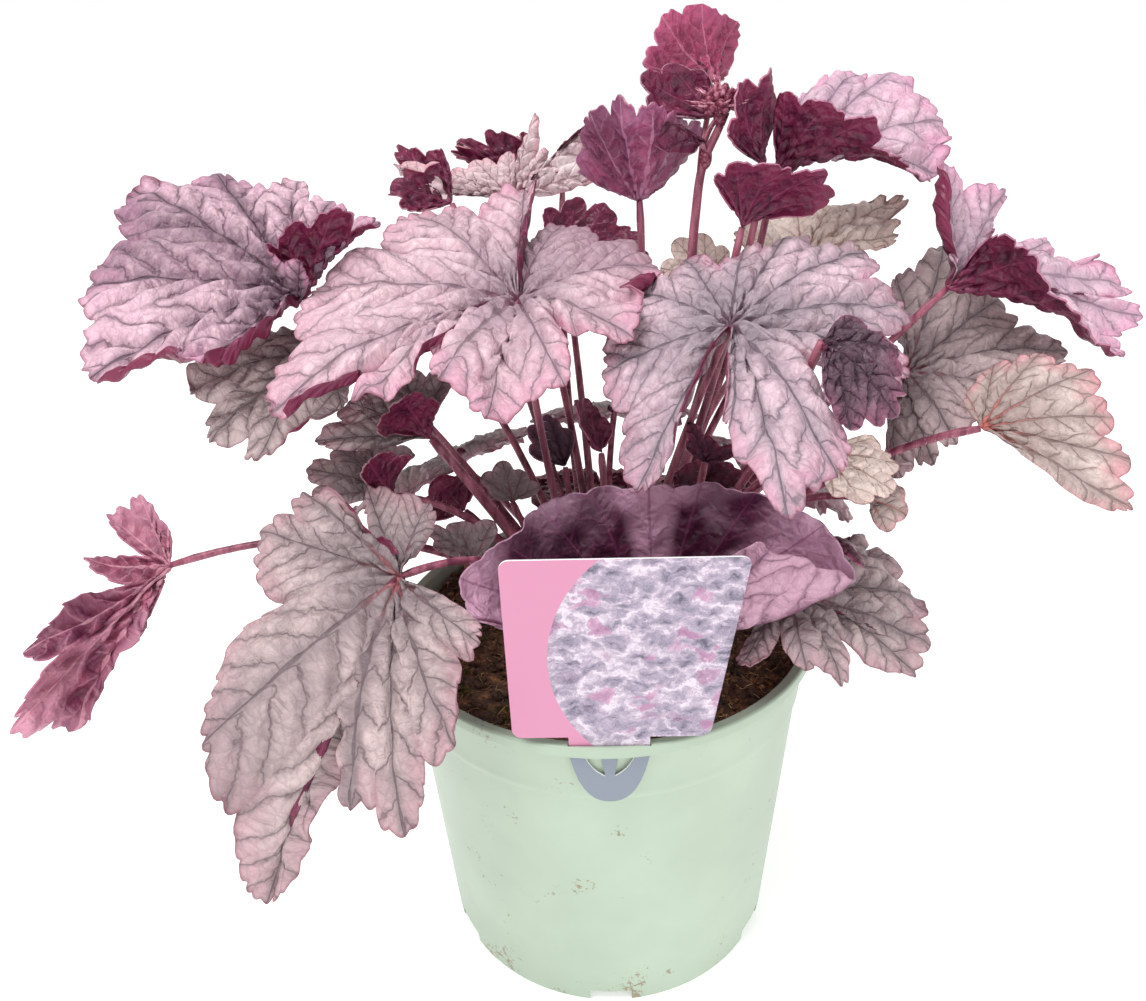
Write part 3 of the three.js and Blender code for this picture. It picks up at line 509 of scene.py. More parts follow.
# Printed polystyrene: flat inks under a thin gloss. The picture panel is a made-up print of
# overlapping scalloped sprays in greys, lilac and white with a few pink ones.
CIRCLE_X, CIRCLE_Z, CIRCLE_RADIUS = 27, 157, 43
BAND_RIGHT = 14
node, shader, label_print = new_finish("printed_polystyrene")
axes = node("SeparateXYZ", {"Vector": node("TexCoord").outputs["Object"]}).outputs
flat = node("CombineXYZ", {"X": axes["X"], "Y": axes["Z"]})
warp = node("TexNoise", {"Vector": flat, "Scale": 150.0, "Detail": 4.0, "Roughness": 0.6})
shift = node("VectorMath", {0: warp.outputs["Color"], "Scale": 0.009}, operation="SCALE")
bent = node("VectorMath", {0: flat, 1: shift}, operation="ADD")
squash = node("Mapping", {"Vector": bent, "Scale": (0.65, 1.2, 1.0)})
sprays = node("TexVoronoi", {"Vector": squash, "Scale": 240.0}, feature="F1")
tint = node("SeparateXYZ", {"Vector": sprays.outputs["Color"]}).outputs
streaks = node("TexNoise", {"Vector": squash, "Scale": 420.0, "Detail": 6.0, "Roughness": 0.72})
frills = node("Math", {0: sprays, 1: 0.42, 2: streaks}, operation="MULTIPLY_ADD")
shade = node("Math", {0: tint["X"], 1: 0.14, 2: frills}, operation="MULTIPLY_ADD")
picture = node("ValToRGB", {"Fac": shade}, (
    (0.5, "5A5264"), (0.6, "7E7688"), (0.7, "978CA0"), (0.82, "B2A2B4"), (0.96, "D8CCD8"),
))
blush = node("MapRange", {"Value": tint["Y"], "From Min": 0.84, "From Max": 0.94, "To Max": 0.5})
# The pink band's edge is part of a circle about the panel's middle.
centre = (CIRCLE_X * MM, CIRCLE_Z * MM, 0)
away = node("VectorMath", {0: flat, 1: centre}, operation="DISTANCE").outputs["Value"]
in_band = node("MapRange", {
    "Value": away, "From Min": CIRCLE_RADIUS * MM, "From Max": (CIRCLE_RADIUS + 0.15) * MM,
})
left_side = node("Math", {0: axes["X"], 1: BAND_RIGHT * MM}, operation="LESS_THAN")
band = node("Math", {0: in_band, 1: left_side}, operation="MULTIPLY")
on_tongue = node("Math", {0: axes["Z"], 1: (sill + 1) * MM}, operation="LESS_THAN")
colour = picture.outputs[0]
for factor, code in ((blush, "B46A98"), (band, "CC88A6"), (on_tongue, "7F8894")):
    colours = {"Factor": factor, 6: colour, 7: linear(code)}
    colour = node("Mix", colours, data_type="RGBA").outputs[2]
set_inputs(shader, {"Base Color": colour, "Roughness": 0.3})
# Unprinted polystyrene: bare white, matt and very slightly clouded.
label_edge = mottled_finish("bare_polystyrene", 90.0, 3.0, ((0.35, "F6F2F5"), (0.65, "FDFCFD")), 0.5)
label = shown_object("plant_label", label_bm, label_print, label_edge, smooth=False)
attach(label, "root")
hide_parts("label")

# ---- Leaves ----------------------------------------------------------------------------------
# Each blade is a fan of main veins from one heart, cut into rounded lobes with scalloped teeth.
# It puckers up between its veins, so the veins lie sunk on top and stand proud underneath.

# A vein is (heading in degrees about +Z from +X, climb in degrees, length in mm, cut, narrow), in
# counter-clockwise order seen from the leaf's upper side, where cut is how deep the notch after
# it goes and narrow shapes it: 1 makes a V and 3 a slit. A fan is (heading, climb, roll, length).
# heart is the place in mm where the veins meet and elbow the middle control point of the stalk.
# root is the stalk's foot where it leaves the flower stem, and girth scales its thickness. tone
# is the leaf's main colour; skin and under name its upper and lower surface if they are others.
# arch, pleat, ruffle and waves bend the whole blade. teeth and pucker scale the teeth and the
# bulges between the veins, and tooth is a tooth's width. rolls are the stretches (middle, half
# width) of the margin, counted in veins, that curl up and over; then come the stretches (middle,
# half width, amount) painted pale, or dull where the amount is negative: on some leaves a paler or
# duller tone, on others painted highlight and sheen where pale and painted shade of folds, hollows
# and cast shadows where dull; hems the angles in radians by which the edges past the first and the
# last vein roll up.
LEAVES = {
    # the high leaves that face the front
    "leaf_centre": dict(
        tone="pink", heart=(-25, 5, 240), elbow=(-20, 8, 185), cut=0.18, pleat=0.014,
        rolls=((3.35, 0.2), (4.5, 0.15), (8.6, 0.2)), hems=(3.6, 1),
        painted_light_and_tone=((9.7, 0.9, -0.8), (2, 1.2, 0.4)),
        veins=[(89, 31, 53), (137, 24, 56), (-177, 5, 65, 0.1), (-149, -12, 84, 0.24, 2),
            (-135, -15, 63, 0.42, 2.4), (-113, -12, 51, 0.03), (-97, -23, 56, 0.04),
            (-72, -13, 50, 0.5, 1.8), (-43, -2, 48, 0.16), (1, 13, 45), (67, 27, 38)],
    ),
    # its pale stretches are painted highlights on its lobes, its dull ones painted shade beside its main
    # veins
    "leaf_left": dict(
        tone="pink", skin="mauve", heart=(-94, 6, 242), elbow=(-48, 22, 182), cut=0.14,
        rolls=((10.45, 0.4), (11.3, 0.3)), pucker=1.5, pleat=0.05,
        painted_light_and_tone=((8.5, 0.6, -0.5), (5.8, 1, 0.8), (7, 0.25, -0.5), (9.8, 0.7, 0.7), (7.7, 0.4, 0.5)),
        veins=[(-68, 46, 20), (-111, 58, 23), (-81, 73, 25), (0, 61, 32), (15, 40, 35), (77, 42, 39),
            (101, 35, 54), (128, 27, 72), (149, 22, 80), (-178, 6, 68, 0.1), (-143, -9, 67, 0.12, 1.6),
            (-117, -14, 44)],
    ),
    # its pale stretch is painted light that offsets the shade leaf_left casts on it
    "leaf_left_low": dict(
        tone="taupe", heart=(-85, 7, 224), elbow=(-46, 24, 176), cut=0.14, painted_light_and_tone=((2, 3, 1),),
        veins=[(163, 4, 43), (-165, -8, 48), (-142, -23, 50), (-118, -29, 45), (-79, -23, 25)],
    ),
    "leaf_mid_right": dict(
        tone="pink", skin="silver", heart=(38, -25, 239), elbow=(20, -4, 180), cut=0.16, pleat=0.014,
        rolls=((9.5, 0.25),), hems=(0, 2.6),
        painted_light_and_tone=((5.5, 0.9, 0.7), (3.8, 0.5, -0.4), (8.2, 0.5, -0.4), (10.9, 0.8, -0.3)),
        veins=[(-96, -28, 38, 0.06), (-82, -31, 67, 0.05), (-64, -28, 58, 0.8), (-11, -15, 51),
            (11, 0, 56), (36, 13, 58), (59, 20, 48), (76, 23, 37), (106, 16, 35), (136, 3, 42),
            (175, -23, 40), (-139, -49, 54)],
    ),
    "leaf_puckered": dict(
        tone="plum", heart=(60, -46, 240), elbow=(52, -34, 200), cut=0.06, pucker=3, teeth=2,
        veins=[(-94, -49, 15), (-67, -53, 25), (-28, -40, 28), (6, -11, 21), (35, 22, 12)],
    ),
    "leaf_lattice": dict(
        tone="straw", skin="beige", heart=(67, 24, 246), elbow=(38, 20, 190), pucker=1.4, teeth=2.2,
        veins=[(10, 10, 34), (29, 20, 44), (55, 27, 35), (86, 33, 29), (154, 19, 24)],
    ),
    "leaf_lattice_small": dict(
        tone="straw", skin="beige", heart=(36, 20, 241), elbow=(22, 16, 185), pucker=1.2, teeth=1.8,
        veins=[(15, 51, 12), (92, 60, 16), (158, 50, 17), (-172, 19, 16)],
    ),
    # the wine-red upper leaves round the flower stem
    "leaf_top": dict(
        tone="wine", under="crimson", heart=(37, 22, 301), elbow=(33, 18, 288), root=(32, 10, 276),
        girth=0.65, pucker=2,
        veins=[(-165, 14, 24), (180, 47, 24), (123, 71, 22), (58, 45, 23), (68, 12, 15)],
    ),
    "leaf_top_low": dict(
        tone="plum", heart=(37, 14, 292), elbow=(32, 11, 287), root=(32, 10, 276), girth=0.65,
        cut=0.05, teeth=1.4,
        veins=[(-168, 10, 22), (-175, 27, 26), (172, 46, 20), (160, 70, 13)],
    ),
    "leaf_funnel": dict(
        tone="wine", under="violet", heart=(14, 20, 268), elbow=(18, 26, 205), cut=0.12, arch=-0.03,
        painted_light_and_tone=((2.3, 0.9, -0.7), (5.4, 0.7, 0.6)),
        veins=[(105, 23, 38), (152, 20, 23), (-140, 54, 33), (-107, 55, 38), (-81, 55, 36),
            (-27, 60, 27), (34, 35, 32)],
    ),
    "leaf_bud_right": dict(
        tone="wine", heart=(51, 10, 278), elbow=(44, 14, 210),
        veins=[(-138, 34, 22), (-127, 53, 29), (-93, 73, 27), (25, 73, 16)],
    ),
    "leaf_top_right": dict(
        tone="pink", skin="orchid", heart=(55, 12, 276), elbow=(52, 30, 215), cut=0.08,
        veins=[(-91, 66, 24), (-55, 47, 28), (-29, 26, 32), (-10, 4, 36), (13, -4, 54), (28, 8, 68),
            (43, 22, 66), (50, 26, 58), (65, 27, 45)],
    ),
    "leaf_wine": dict(
        tone="wine", heart=(45, 7, 261), elbow=(36, 22, 195), cut=0.08,
        veins=[(-141, 53, 21), (-112, 58, 24), (-61, 54, 23), (-23, 36, 28), (-9, 17, 27)],
    ),
    "leaf_ruffled_left": dict(
        tone="straw", skin="rose", heart=(-51, 54, 263), elbow=(-22, 38, 195), cut=0.12, ruffle=0.03,
        waves=1.5, pucker=2, teeth=1.6, rolls=((1, 0.4),),
        veins=[(-154, 0, 18), (-162, 23, 21), (166, 73, 14), (158, 31, 25), (144, 38, 30),
            (113, 57, 20)],
    ),
    "leaf_ruffled_mid": dict(
        tone="wine", skin="rose", heart=(-13, 88, 262), elbow=(-16, 50, 195), cut=0.12, ruffle=0.02,
        waves=1.5, pucker=2, teeth=1.6, rolls=((1, 0.4),),
        veins=[(-166, 22, 44), (-170, 30, 42), (180, 40, 34), (156, 54, 25), (149, 39, 28)],
    ),
    "leaf_ruffled_right": dict(
        tone="straw", skin="rose", heart=(-30, 68, 261), elbow=(-8, 42, 190), cut=0.12, ruffle=0.03,
        waves=1.5, pucker=2, teeth=1.6, rolls=((1, 0.4),),
        veins=[(0, 17, 35), (16, 38, 38, 0.5, 1.6), (24, 49, 22, 0.3), (57, 60, 33, 0.6, 1.6),
            (99, 59, 19), (148, 39, 22), (163, 21, 30), (170, 10, 30)],
    ),
    "leaf_crenate": dict(
        tone="plum", heart=(-11, 56, 241), elbow=(-4, 32, 180), cut=0.15,
        veins=[(150, 66, 20), (55, 72, 23), (15, 51, 25), (-4, 19, 28), (-8, 4, 29)],
    ),
    # the right side
    "leaf_right": dict(
        tone="pink", skin="orchid", heart=(108, 0, 242), elbow=(55, 4, 184), cut=0.14,
        rolls=((9.4, 0.3),),
        veins=[(-71, 44, 29), (-59, 25, 33), (-45, -8, 43), (-19, -20, 53), (2, -11, 63), (8, -3, 60),
            (22, 2, 52), (31, 10, 47, 0.75, 1.7), (50, 40, 38), (113, 73, 36)],
    ),
    "leaf_olive": dict(
        tone="taupe", heart=(99, 2, 214), elbow=(48, 10, 168), cut=0.14, painted_light_and_tone=((3.5, 4, 0.8),),
        veins=[(-107, -40, 38), (-88, -29, 37), (-76, -20, 33), (-31, -3, 31), (0, 9, 51),
            (28, 26, 42), (61, 43, 50), (87, 48, 36)],
    ),
    "leaf_far_right": dict(
        tone="straw", heart=(109, -38, 211), elbow=(70, -14, 194), cut=0.08,
        veins=[(-39, -19, 44), (-28, -5, 38), (-18, 12, 33), (0, 32, 32), (26, 45, 26), (65, 43, 21),
            (109, 41, 11)],
    ),
    "leaf_folded": dict(
        tone="straw", skin="beige", heart=(61, -50, 209), elbow=(42, -22, 190), cut=0.08,
        veins=[(-78, -40, 13), (-37, -42, 18), (0, -28, 25), (14, -13, 25), (28, 2, 17)],
    ),
    "leaf_tag": dict(
        tone="straw", heart=(76, -48, 194), elbow=(50, -18, 188), cut=0.08,
        veins=[(-51, -45, 11), (-11, -22, 12), (20, 6, 12)],
    ),
    "leaf_lower_right": dict(
        tone="taupe", heart=(57, -42, 159), elbow=(34, -22, 150), cut=0.16,
        veins=[(-132, -34, 26, 0.55, 2.6), (-88, -19, 28, 0.05), (-69, -23, 33, 0.5, 2),
            (-23, -25, 45, 0.06), (-11, -18, 46, 0.06), (8, -9, 44, 0.08), (33, -3, 48), (48, -1, 46)],
    ),
    # the low leaves at the front and left
    # its pale stretches are painted sheen and painted light inside its bowl and on its flaps, its dull ones
    # painted shade deep in the bowl
    "leaf_front": dict(
        tone="plum", under="aubergine", skin="lilac", heart=(16, -45, 145), elbow=(10, -26, 136),
        cut=0.02, teeth=0.25, pucker=0.6,
        painted_light_and_tone=((8.8, 1.6, 1), (5.05, 0.7, 0.8), (0.5, 1.4, 0.7), (3, 1.4, -0.6), (6.6, 0.8, -0.5)),
        veins=[(-160, 21, 61), (-167, 28, 66), (-174, 40, 60), (178, 54, 55), (159, 68, 53),
            (102, 79, 50), (28, 73, 52), (6, 59, 57), (-6, 41, 64), (-15, 28, 64), (-36, 51, 57)],
    ),
    "leaf_front_left": dict(
        tone="taupe", heart=(-61, -48, 171), elbow=(-22, -32, 180), cut=0.08, pleat=0.014,
        rolls=((1.65, 0.25),), painted_light_and_tone=((6, 0.2, -0.9), (4.2, 0.4, -0.5)),
        veins=[(66, 38, 25), (116, 29, 33, 0.8, 1.2), (147, 27, 43), (164, 11, 46, 0.35, 2),
            (-148, -28, 73, 0.12, 2), (-132, -54, 106, 0.42, 1.5), (-106, -49, 68, 0.03),
            (-85, -48, 74, 0.16, 2), (-63, -37, 54, 0.3, 1.8), (-41, -13, 37)],
    ),
    "leaf_curled": dict(
        tone="taupe", heart=(-69, -12, 181), elbow=(-40, -4, 176),
        veins=[(-99, 54, 24), (14, 59, 16), (118, 26, 23), (149, 28, 26), (176, 19, 29), (-161, 6, 25)],
    ),
    "leaf_far_left": dict(
        tone="wine", under="dusky", heart=(-139, -30, 166), elbow=(-60, -16, 186), cut=0.12, teeth=1.5,
        tooth=6, pucker=1.4, painted_light_and_tone=((5.5, 1.2, 0.6), (2, 0.5, 0.7), (3, 0.5, -0.6), (1, 0.4, -0.4)),
        veins=[(-117, -46, 23, 0.7, 1.6), (-116, -37, 55, 0.13, 1.4), (-122, -23, 65, 0.26, 1.4),
            (-135, -11, 48, 0.6, 1.3), (-175, 8, 26, 0.7, 1.6), (155, 30, 28), (128, 42, 27),
            (107, 36, 13)],
    ),
    "leaf_fold_left": dict(
        tone="taupe", heart=(-56, -2, 197), elbow=(-28, -4, 158), girth=1.4,
        veins=[(-119, 27, 28), (-100, 47, 30), (-49, 60, 16), (44, 67, 22), (132, 55, 24),
            (180, 28, 28), (-164, 7, 37)],
    ),
    "leaf_small_brown": dict(
        tone="taupe", heart=(-31, 6, 169), elbow=(-24, 6, 148), cut=0.12,
        veins=[(22, 19, 11), (66, 43, 12), (115, 53, 15), (169, 35, 13), (-149, 22, 8)],
    ),
    "leaf_small_crimson": dict(
        tone="wine", heart=(0, -4, 191), elbow=(2, -4, 160),
        veins=[(166, 65, 19), (111, 61, 18), (66, 38, 11)],
    ),
    "leaf_inner": dict(
        tone="plum", heart=(-13, 26, 173), elbow=(-10, 18, 145), cut=0.12,
        veins=[(54, 69, 13), (134, 65, 20), (171, 47, 18), (-170, 26, 13)],
    ),
    "leaf_inner_left": dict(
        tone="taupe", heart=(-43, -16, 157), elbow=(-26, -10, 140), cut=0.12,
        veins=[(45, 52, 14), (129, 50, 15), (173, 37, 20), (-152, 38, 16)],
    ),
    "leaf_inner_dark": dict(
        tone="plum", heart=(-48, 4, 167), elbow=(-28, 4, 146), cut=0.12,
        veins=[(-155, 7, 15), (-165, 58, 14), (38, 74, 12)],
    ),
    "leaf_inner_right": dict(
        tone="wine", heart=(33, -18, 193), elbow=(28, -18, 158), cut=0.2,
        veins=[(-12, 28, 11), (0, 73, 8), (180, 68, 15), (-161, 44, 9)],
    ),
    "leaf_arched": dict(
        tone="wine", heart=(32, -6, 177), elbow=(20, -2, 150), cut=0.06,
        veins=[(-19, 12, 19), (28, 49, 13), (-166, 42, 11)],
    ),
    "leaf_bud_front": dict(
        tone="wine", heart=(67, -44, 179), elbow=(40, -22, 160),
        veins=[(-32, -28, 13), (14, -23, 9)],
    ),
    # the leaves at the back: plain fans of seven veins
    "leaf_back_left": dict(
        tone="pink", heart=(-60, 52, 220), elbow=(-26, 26, 185), fan=(132, -10, 0, 48),
    ),
    "leaf_back_right": dict(
        tone="pink", heart=(62, 56, 214), elbow=(28, 28, 178), fan=(50, -12, 0, 48),
    ),
    "leaf_back": dict(
        tone="taupe", heart=(6, 64, 180), elbow=(2, 32, 164), fan=(90, -22, 0, 42),
    ),
    "leaf_back_low_left": dict(
        tone="taupe", heart=(-58, 46, 168), elbow=(-26, 24, 156), fan=(142, -32, 0, 48),
    ),
    "leaf_back_low_right": dict(
        tone="taupe", heart=(60, 42, 166), elbow=(28, 22, 154), fan=(36, -36, 0, 46),
    ),
    "leaf_back_low": dict(
        tone="straw", heart=(0, 56, 152), elbow=(0, 28, 146), fan=(90, -44, 0, 44),
    ),
}

LEAF_THICKNESS = 0.55
LEAF_END = 0.45  # the blade goes this far past its first and last vein
FAN_STEP, FAN_SHARES = 44, (0.62, 0.82, 0.95, 1, 0.95, 0.82, 0.62)
FINE, COARSE = 1.25, 2.0  # the mesh's cells in mm, in front and at the back
TOOTH = 6.5  # a tooth's usual width along the margin in mm
ROLL_RADIUS, ROLL_LENGTH = 2.3, 8.5  # a rolled margin's radius, and how much of the blade is in it


def fan_veins(heading, climb, roll, length):
    """Seven veins round one heading, the side ones shorter. Roll lifts the leaf's left side."""
    veins = []
    for k, share in enumerate(FAN_SHARES):
        turn = (k - 3) * FAN_STEP
        lift = climb * math.cos(math.radians(turn)) + roll * math.sin(math.radians(turn)) - 6
        veins.append([heading + turn, lift, length * share])
    return veins


def unit(vectors):
    return vectors / np.linalg.norm(vectors, axis=-1, keepdims=True)


def between_veins(knots, t):
    """Values at t from those at the veins: a smooth curve inside, straight beyond the ends."""
    last = len(knots) - 3
    i = np.clip(np.floor(t).astype(int), -1, last)
    f = (t - i)[:, None]
    a, b, c, d = (knots[np.clip(i + k, 0, len(knots) - 1)] for k in range(4))
    curved = 0.5 * (
        2 * b + (c - a) * f + (2 * a - 5 * b + 4 * c - d) * f ** 2 + (3 * b - a - 3 * c + d) * f ** 3
    )
    return np.where(((i >= 0) & (i < last))[:, None], curved, b + (c - b) * f)


def ripples(points, wavelength, draws):
    """Smooth random values between about -1 and 1 at points in mm, from a few crossing waves."""
    total = np.zeros(len(points))
    for _ in range(7):
        wave = draws.normal(size=points.shape[1])
        wave *= 2 * np.pi / (wavelength * draws.uniform(0.75, 1.5) * np.linalg.norm(wave))
        total += np.sin(points @ wave + draws.uniform(0, 6.28))
    return total / 3.5


class Blade:
    """A leaf as a surface: t runs from vein to vein, s from the heart to the margin."""

    def __init__(
        self, heart, veins, cut=0.1, arch=0.1, pleat=0.025, ruffle=0, waves=0.5, rolls=(), teeth=1,
        tooth=TOOTH, pucker=1, painted_light_and_tone=(), hems=(0, 0),
    ):
        self.heart = np.array(heart, float)
        self.last = len(veins) - 1
        self.cut, self.arch, self.pleat, self.ruffle, self.waves = cut, arch, pleat, ruffle, waves
        self.rolls, self.teeth, self.tooth, self.pucker = rolls, teeth, tooth, pucker
        self.painted_light_and_tone, self.hems = painted_light_and_tone, hems
        angles = np.radians([vein[:2] for vein in veins])
        level = np.cos(angles[:, 1])
        east, north = np.cos(angles[:, 0]) * level, np.sin(angles[:, 0]) * level
        inner = np.stack([east, north, np.sin(angles[:, 1])], 1)
        before = 2 * inner[0] @ inner[1] * inner[0] - inner[1]
        after = 2 * inner[-1] @ inner[-2] * inner[-1] - inner[-2]
        self.directions = np.vstack([before, inner, after])
        lengths = [vein[2] for vein in veins]
        self.lengths = np.array([0.9 * lengths[0], *lengths, 0.9 * lengths[-1]], float)[:, None]
        self.cuts = np.array([vein[3] if len(vein) > 3 else cut for vein in veins])
        self.narrow = np.array([vein[4] if len(vein) > 4 else 2.4 + c for vein, c in zip(veins, self.cuts)])
        # how far the blade turns from its first vein on, measured in its own surface
        self.spread = np.linspace(-0.5, self.last + 0.5, 40 * (self.last + 2))
        steps = np.linalg.norm(np.diff(self.direction(self.spread), axis=0), axis=1)
        self.turned = np.concatenate([[0], np.cumsum(steps)])

    def direction(self, t):
        return unit(between_veins(self.directions, t))

    def length(self, t):
        return between_veins(self.lengths, t)[:, 0]

    def angle(self, t):
        return np.interp(t, self.spread, self.turned)

    def reach(self, t):
        """Share of the vein length that the margin reaches, without its teeth."""
        between = np.abs(2 * (t - np.round(t)))
        inside = (t >= 0) & (t < self.last)
        after = np.clip(np.floor(t).astype(int), 0, self.last)
        cut = np.where(inside, self.cuts[after], self.cut)
        reach = 1 - cut * between ** np.where(inside, self.narrow[after], 2.4 + self.cut)
        beyond = np.maximum(np.maximum(-t, t - self.last), 0)
        return reach * np.sqrt(np.maximum(1 - (beyond / (LEAF_END + 0.03)) ** 2.2, 0))


def blade_grid(name, blade, fine):
    """A flat fan-shaped mesh for a blade, with t and a count of teeth for each of its columns."""
    # stretches from vein to midline, each with an odd half-count of teeth up to the notch
    stops = [-LEAF_END] + [k / 2 for k in range(2 * blade.last + 1)] + [blade.last + LEAF_END]
    marks, teeth_at, teeth = [stops[0]], [0.5], 0.5
    for start, end in zip(stops, stops[1:]):
        probe = np.linspace(start, end, 30)
        margin = blade.direction(probe) * (blade.length(probe) * blade.reach(probe))[:, None]
        arc = np.linalg.norm(np.diff(margin, axis=0), axis=1).sum()
        steps = max(3, round(arc / (2 * fine)))
        share = (round(arc / blade.tooth - 0.5) + 0.5) if arc > 0.6 * blade.tooth else 0.5
        marks += [start + (end - start) * j / steps for j in range(1, steps + 1)]
        teeth_at += [teeth + share * j / steps for j in range(1, steps + 1)]
        teeth += share
    rows = max(6, round(float(blade.lengths.max()) / (1.25 * fine)))
    bm = bmesh.new()
    bmesh.ops.create_grid(bm, x_segments=len(marks) - 1, y_segments=rows, size=0.5)
    for v in bm.verts:
        v.co.x = (v.co.x + 0.5) * (len(marks) - 1)
        v.co.y += 0.5
    level = [e for e in bm.edges if abs(e.verts[0].co.y - e.verts[1].co.y) < 1e-5]
    outer = [e for e in level if e.verts[0].co.y > 0.48]
    bmesh.ops.subdivide_edges(bm, edges=outer, cuts=1)
    for v in bm.verts:
        if v.co.y < 1e-5:
            v.co.x = 0
    bmesh.ops.remove_doubles(bm, verts=[v for v in bm.verts if v.co.y < 1e-5], dist=1e-4)
    bmesh.ops.recalc_face_normals(bm, faces=bm.faces)
    if sum(f.normal.z for f in bm.faces) > 0:
        bmesh.ops.reverse_faces(bm, faces=bm.faces)
    mesh = bpy.data.meshes.new(name)
    bm.to_mesh(mesh)
    bm.free()
    return mesh, marks, teeth_at


def blade_mesh(name, blade, draws, fine):
    """The mesh of a blade's middle surface, with maps that say where its veins run."""
    mesh, marks, teeth_at = blade_grid(name, blade, fine)
    grid = np.empty(3 * len(mesh.vertices))
    mesh.vertices.foreach_get("co", grid)
    last_stretch = 1 - ROLL_RADIUS / float(blade.lengths.max())
    column, s = grid[0::3], np.interp(grid[1::3], (0, 0.82, 1), (0, last_stretch, 1))
    t = np.interp(column, np.arange(len(marks)), marks)
    tooth = np.interp(column, np.arange(len(marks)), teeth_at)
    length = blade.length(t)
    turn = blade.angle(t)

    uneven = 1 + 0.45 * ripples(tooth[:, None], 2.6, draws)
    wandering = tooth + 0.16 * ripples(tooth[:, None], 3.1, draws)
    tooth_depth = blade.teeth * np.minimum(2.1, 0.055 * length) * uneven
    notch = 1 - np.abs(np.cos(np.pi * wandering)) ** 0.75
    edge = length * blade.reach(t) - tooth_depth * notch * s ** 2

    # the last stretch before the margin bends up where it is rolled
    roll = 0.7 * np.clip(ripples(tooth[:, None], 11, draws) - 0.35, 0, 0.6)
    for middle, half in blade.rolls:
        roll = np.maximum(roll, np.clip(1.5 * (1 - ((t - middle) / half) ** 2), 0, 1))
    rim = np.minimum(ROLL_RADIUS, 0.4 * edge)
    flat_part = np.minimum(edge * s, edge - rim)
    arc = (edge * s - flat_part) / rim * (rim + roll * (ROLL_LENGTH * rim / ROLL_RADIUS - rim))
    bend = np.maximum(roll, 0.001) / rim
    radius = flat_part + arc
    flat = np.stack([radius * np.cos(turn), radius * np.sin(turn)], 1)

    # past its first and last vein the blade may roll up, round the line from the heart
    past = (t - np.clip(t, 0, blade.last)) / LEAF_END
    hem = np.where(past < 0, *blade.hems) + 0.001
    rolled = np.clip(t, 0, blade.last) + LEAF_END * np.sin(past * hem) / hem
    first_swing = blade.angle(0.5) - blade.angle(0)
    last_swing = blade.angle(blade.last) - blade.angle(blade.last - 0.5)
    end_swing = np.where(past < 0, first_swing, last_swing)
    hem_rise = LEAF_END * (1 - np.cos(past * hem)) / hem * 2 * end_swing

    # each face belongs to the main vein that it lies nearest
    corners = np.empty(len(mesh.loops), int)
    mesh.loops.foreach_get("vertex_index", corners)
    counts = np.empty(len(mesh.polygons), int)
    mesh.polygons.foreach_get("loop_total", counts)
    owner = np.repeat(np.arange(len(counts)), counts)
    weight = (s[corners] > 1e-5).astype(float)
    centre = np.bincount(owner, t[corners] * weight) / np.bincount(owner, weight)
    vein_of = np.clip(np.round(centre), 0, blade.last).astype(int)[owner]

    def vein_place(vein, at):
        """How far across and along that vein a vertex lies, and its phase between side veins."""
        swing = turn[at] - blade.angle(vein.astype(float))
        across, along = radius[at] * np.sin(swing), radius[at] * np.cos(swing)
        full = blade.length(vein.astype(float))
        spacing = np.clip(0.17 * full, 4.0, 11.5)
        offset = np.where(across > 0, 0.5, 0.0) + 0.37 * vein
        phase = (along - 0.95 * np.abs(across) - 0.011 * across ** 2) / spacing + offset
        return across, along, full, phase

    every = np.arange(len(t))
    across, along, full, phase = vein_place(np.clip(np.round(t), 0, blade.last).astype(int), every)
    halfway = np.clip(np.abs(2 * (t - np.round(t))), 0, 1)
    groove = -0.5 * np.exp(-(across / 1.5) ** 2) * (1 - 0.6 * s)
    pucker = -1.6 * np.cos(2 * np.pi * phase) * 4 * halfway * (1 - halfway) * np.clip(1.4 - s, 0, 1)
    pucker *= blade.pucker * np.minimum(1, full / 50)
    drape = 2.2 * ripples(flat, 34, draws) * s + 1.2 * ripples(flat, 13, draws) * s
    drape += 1.6 * ripples(tooth[:, None], 3.4, draws) * s ** 4
    size = np.minimum(1, length / 45)
    lift = 4 * blade.arch * s * (1 - s) - blade.pleat * np.cos(2 * np.pi * t) * s * (1.2 - s)
    lift += blade.ruffle * np.sin(2 * np.pi * blade.waves * t) * s ** 3
    ahead = blade.direction(rolled)
    normal = unit(np.cross(ahead, blade.direction(rolled + 0.01) - blade.direction(rolled - 0.01)))
    height = length * lift + groove + pucker + drape * size + (1 - np.cos(arc * bend)) / bend
    height += hem_rise * radius
    out = flat_part + np.sin(arc * bend) / bend
    place = blade.heart + ahead * out[:, None] + normal * height[:, None]
    mesh.vertices.foreach_set("co", (place * MM).ravel())

    across, along, full, phase = vein_place(vein_of, corners)
    width = 0.3 * np.sqrt(full / 60) * (1 - 0.7 * s[corners]) + 0.08
    shift = draws.uniform(0, 90, 2)
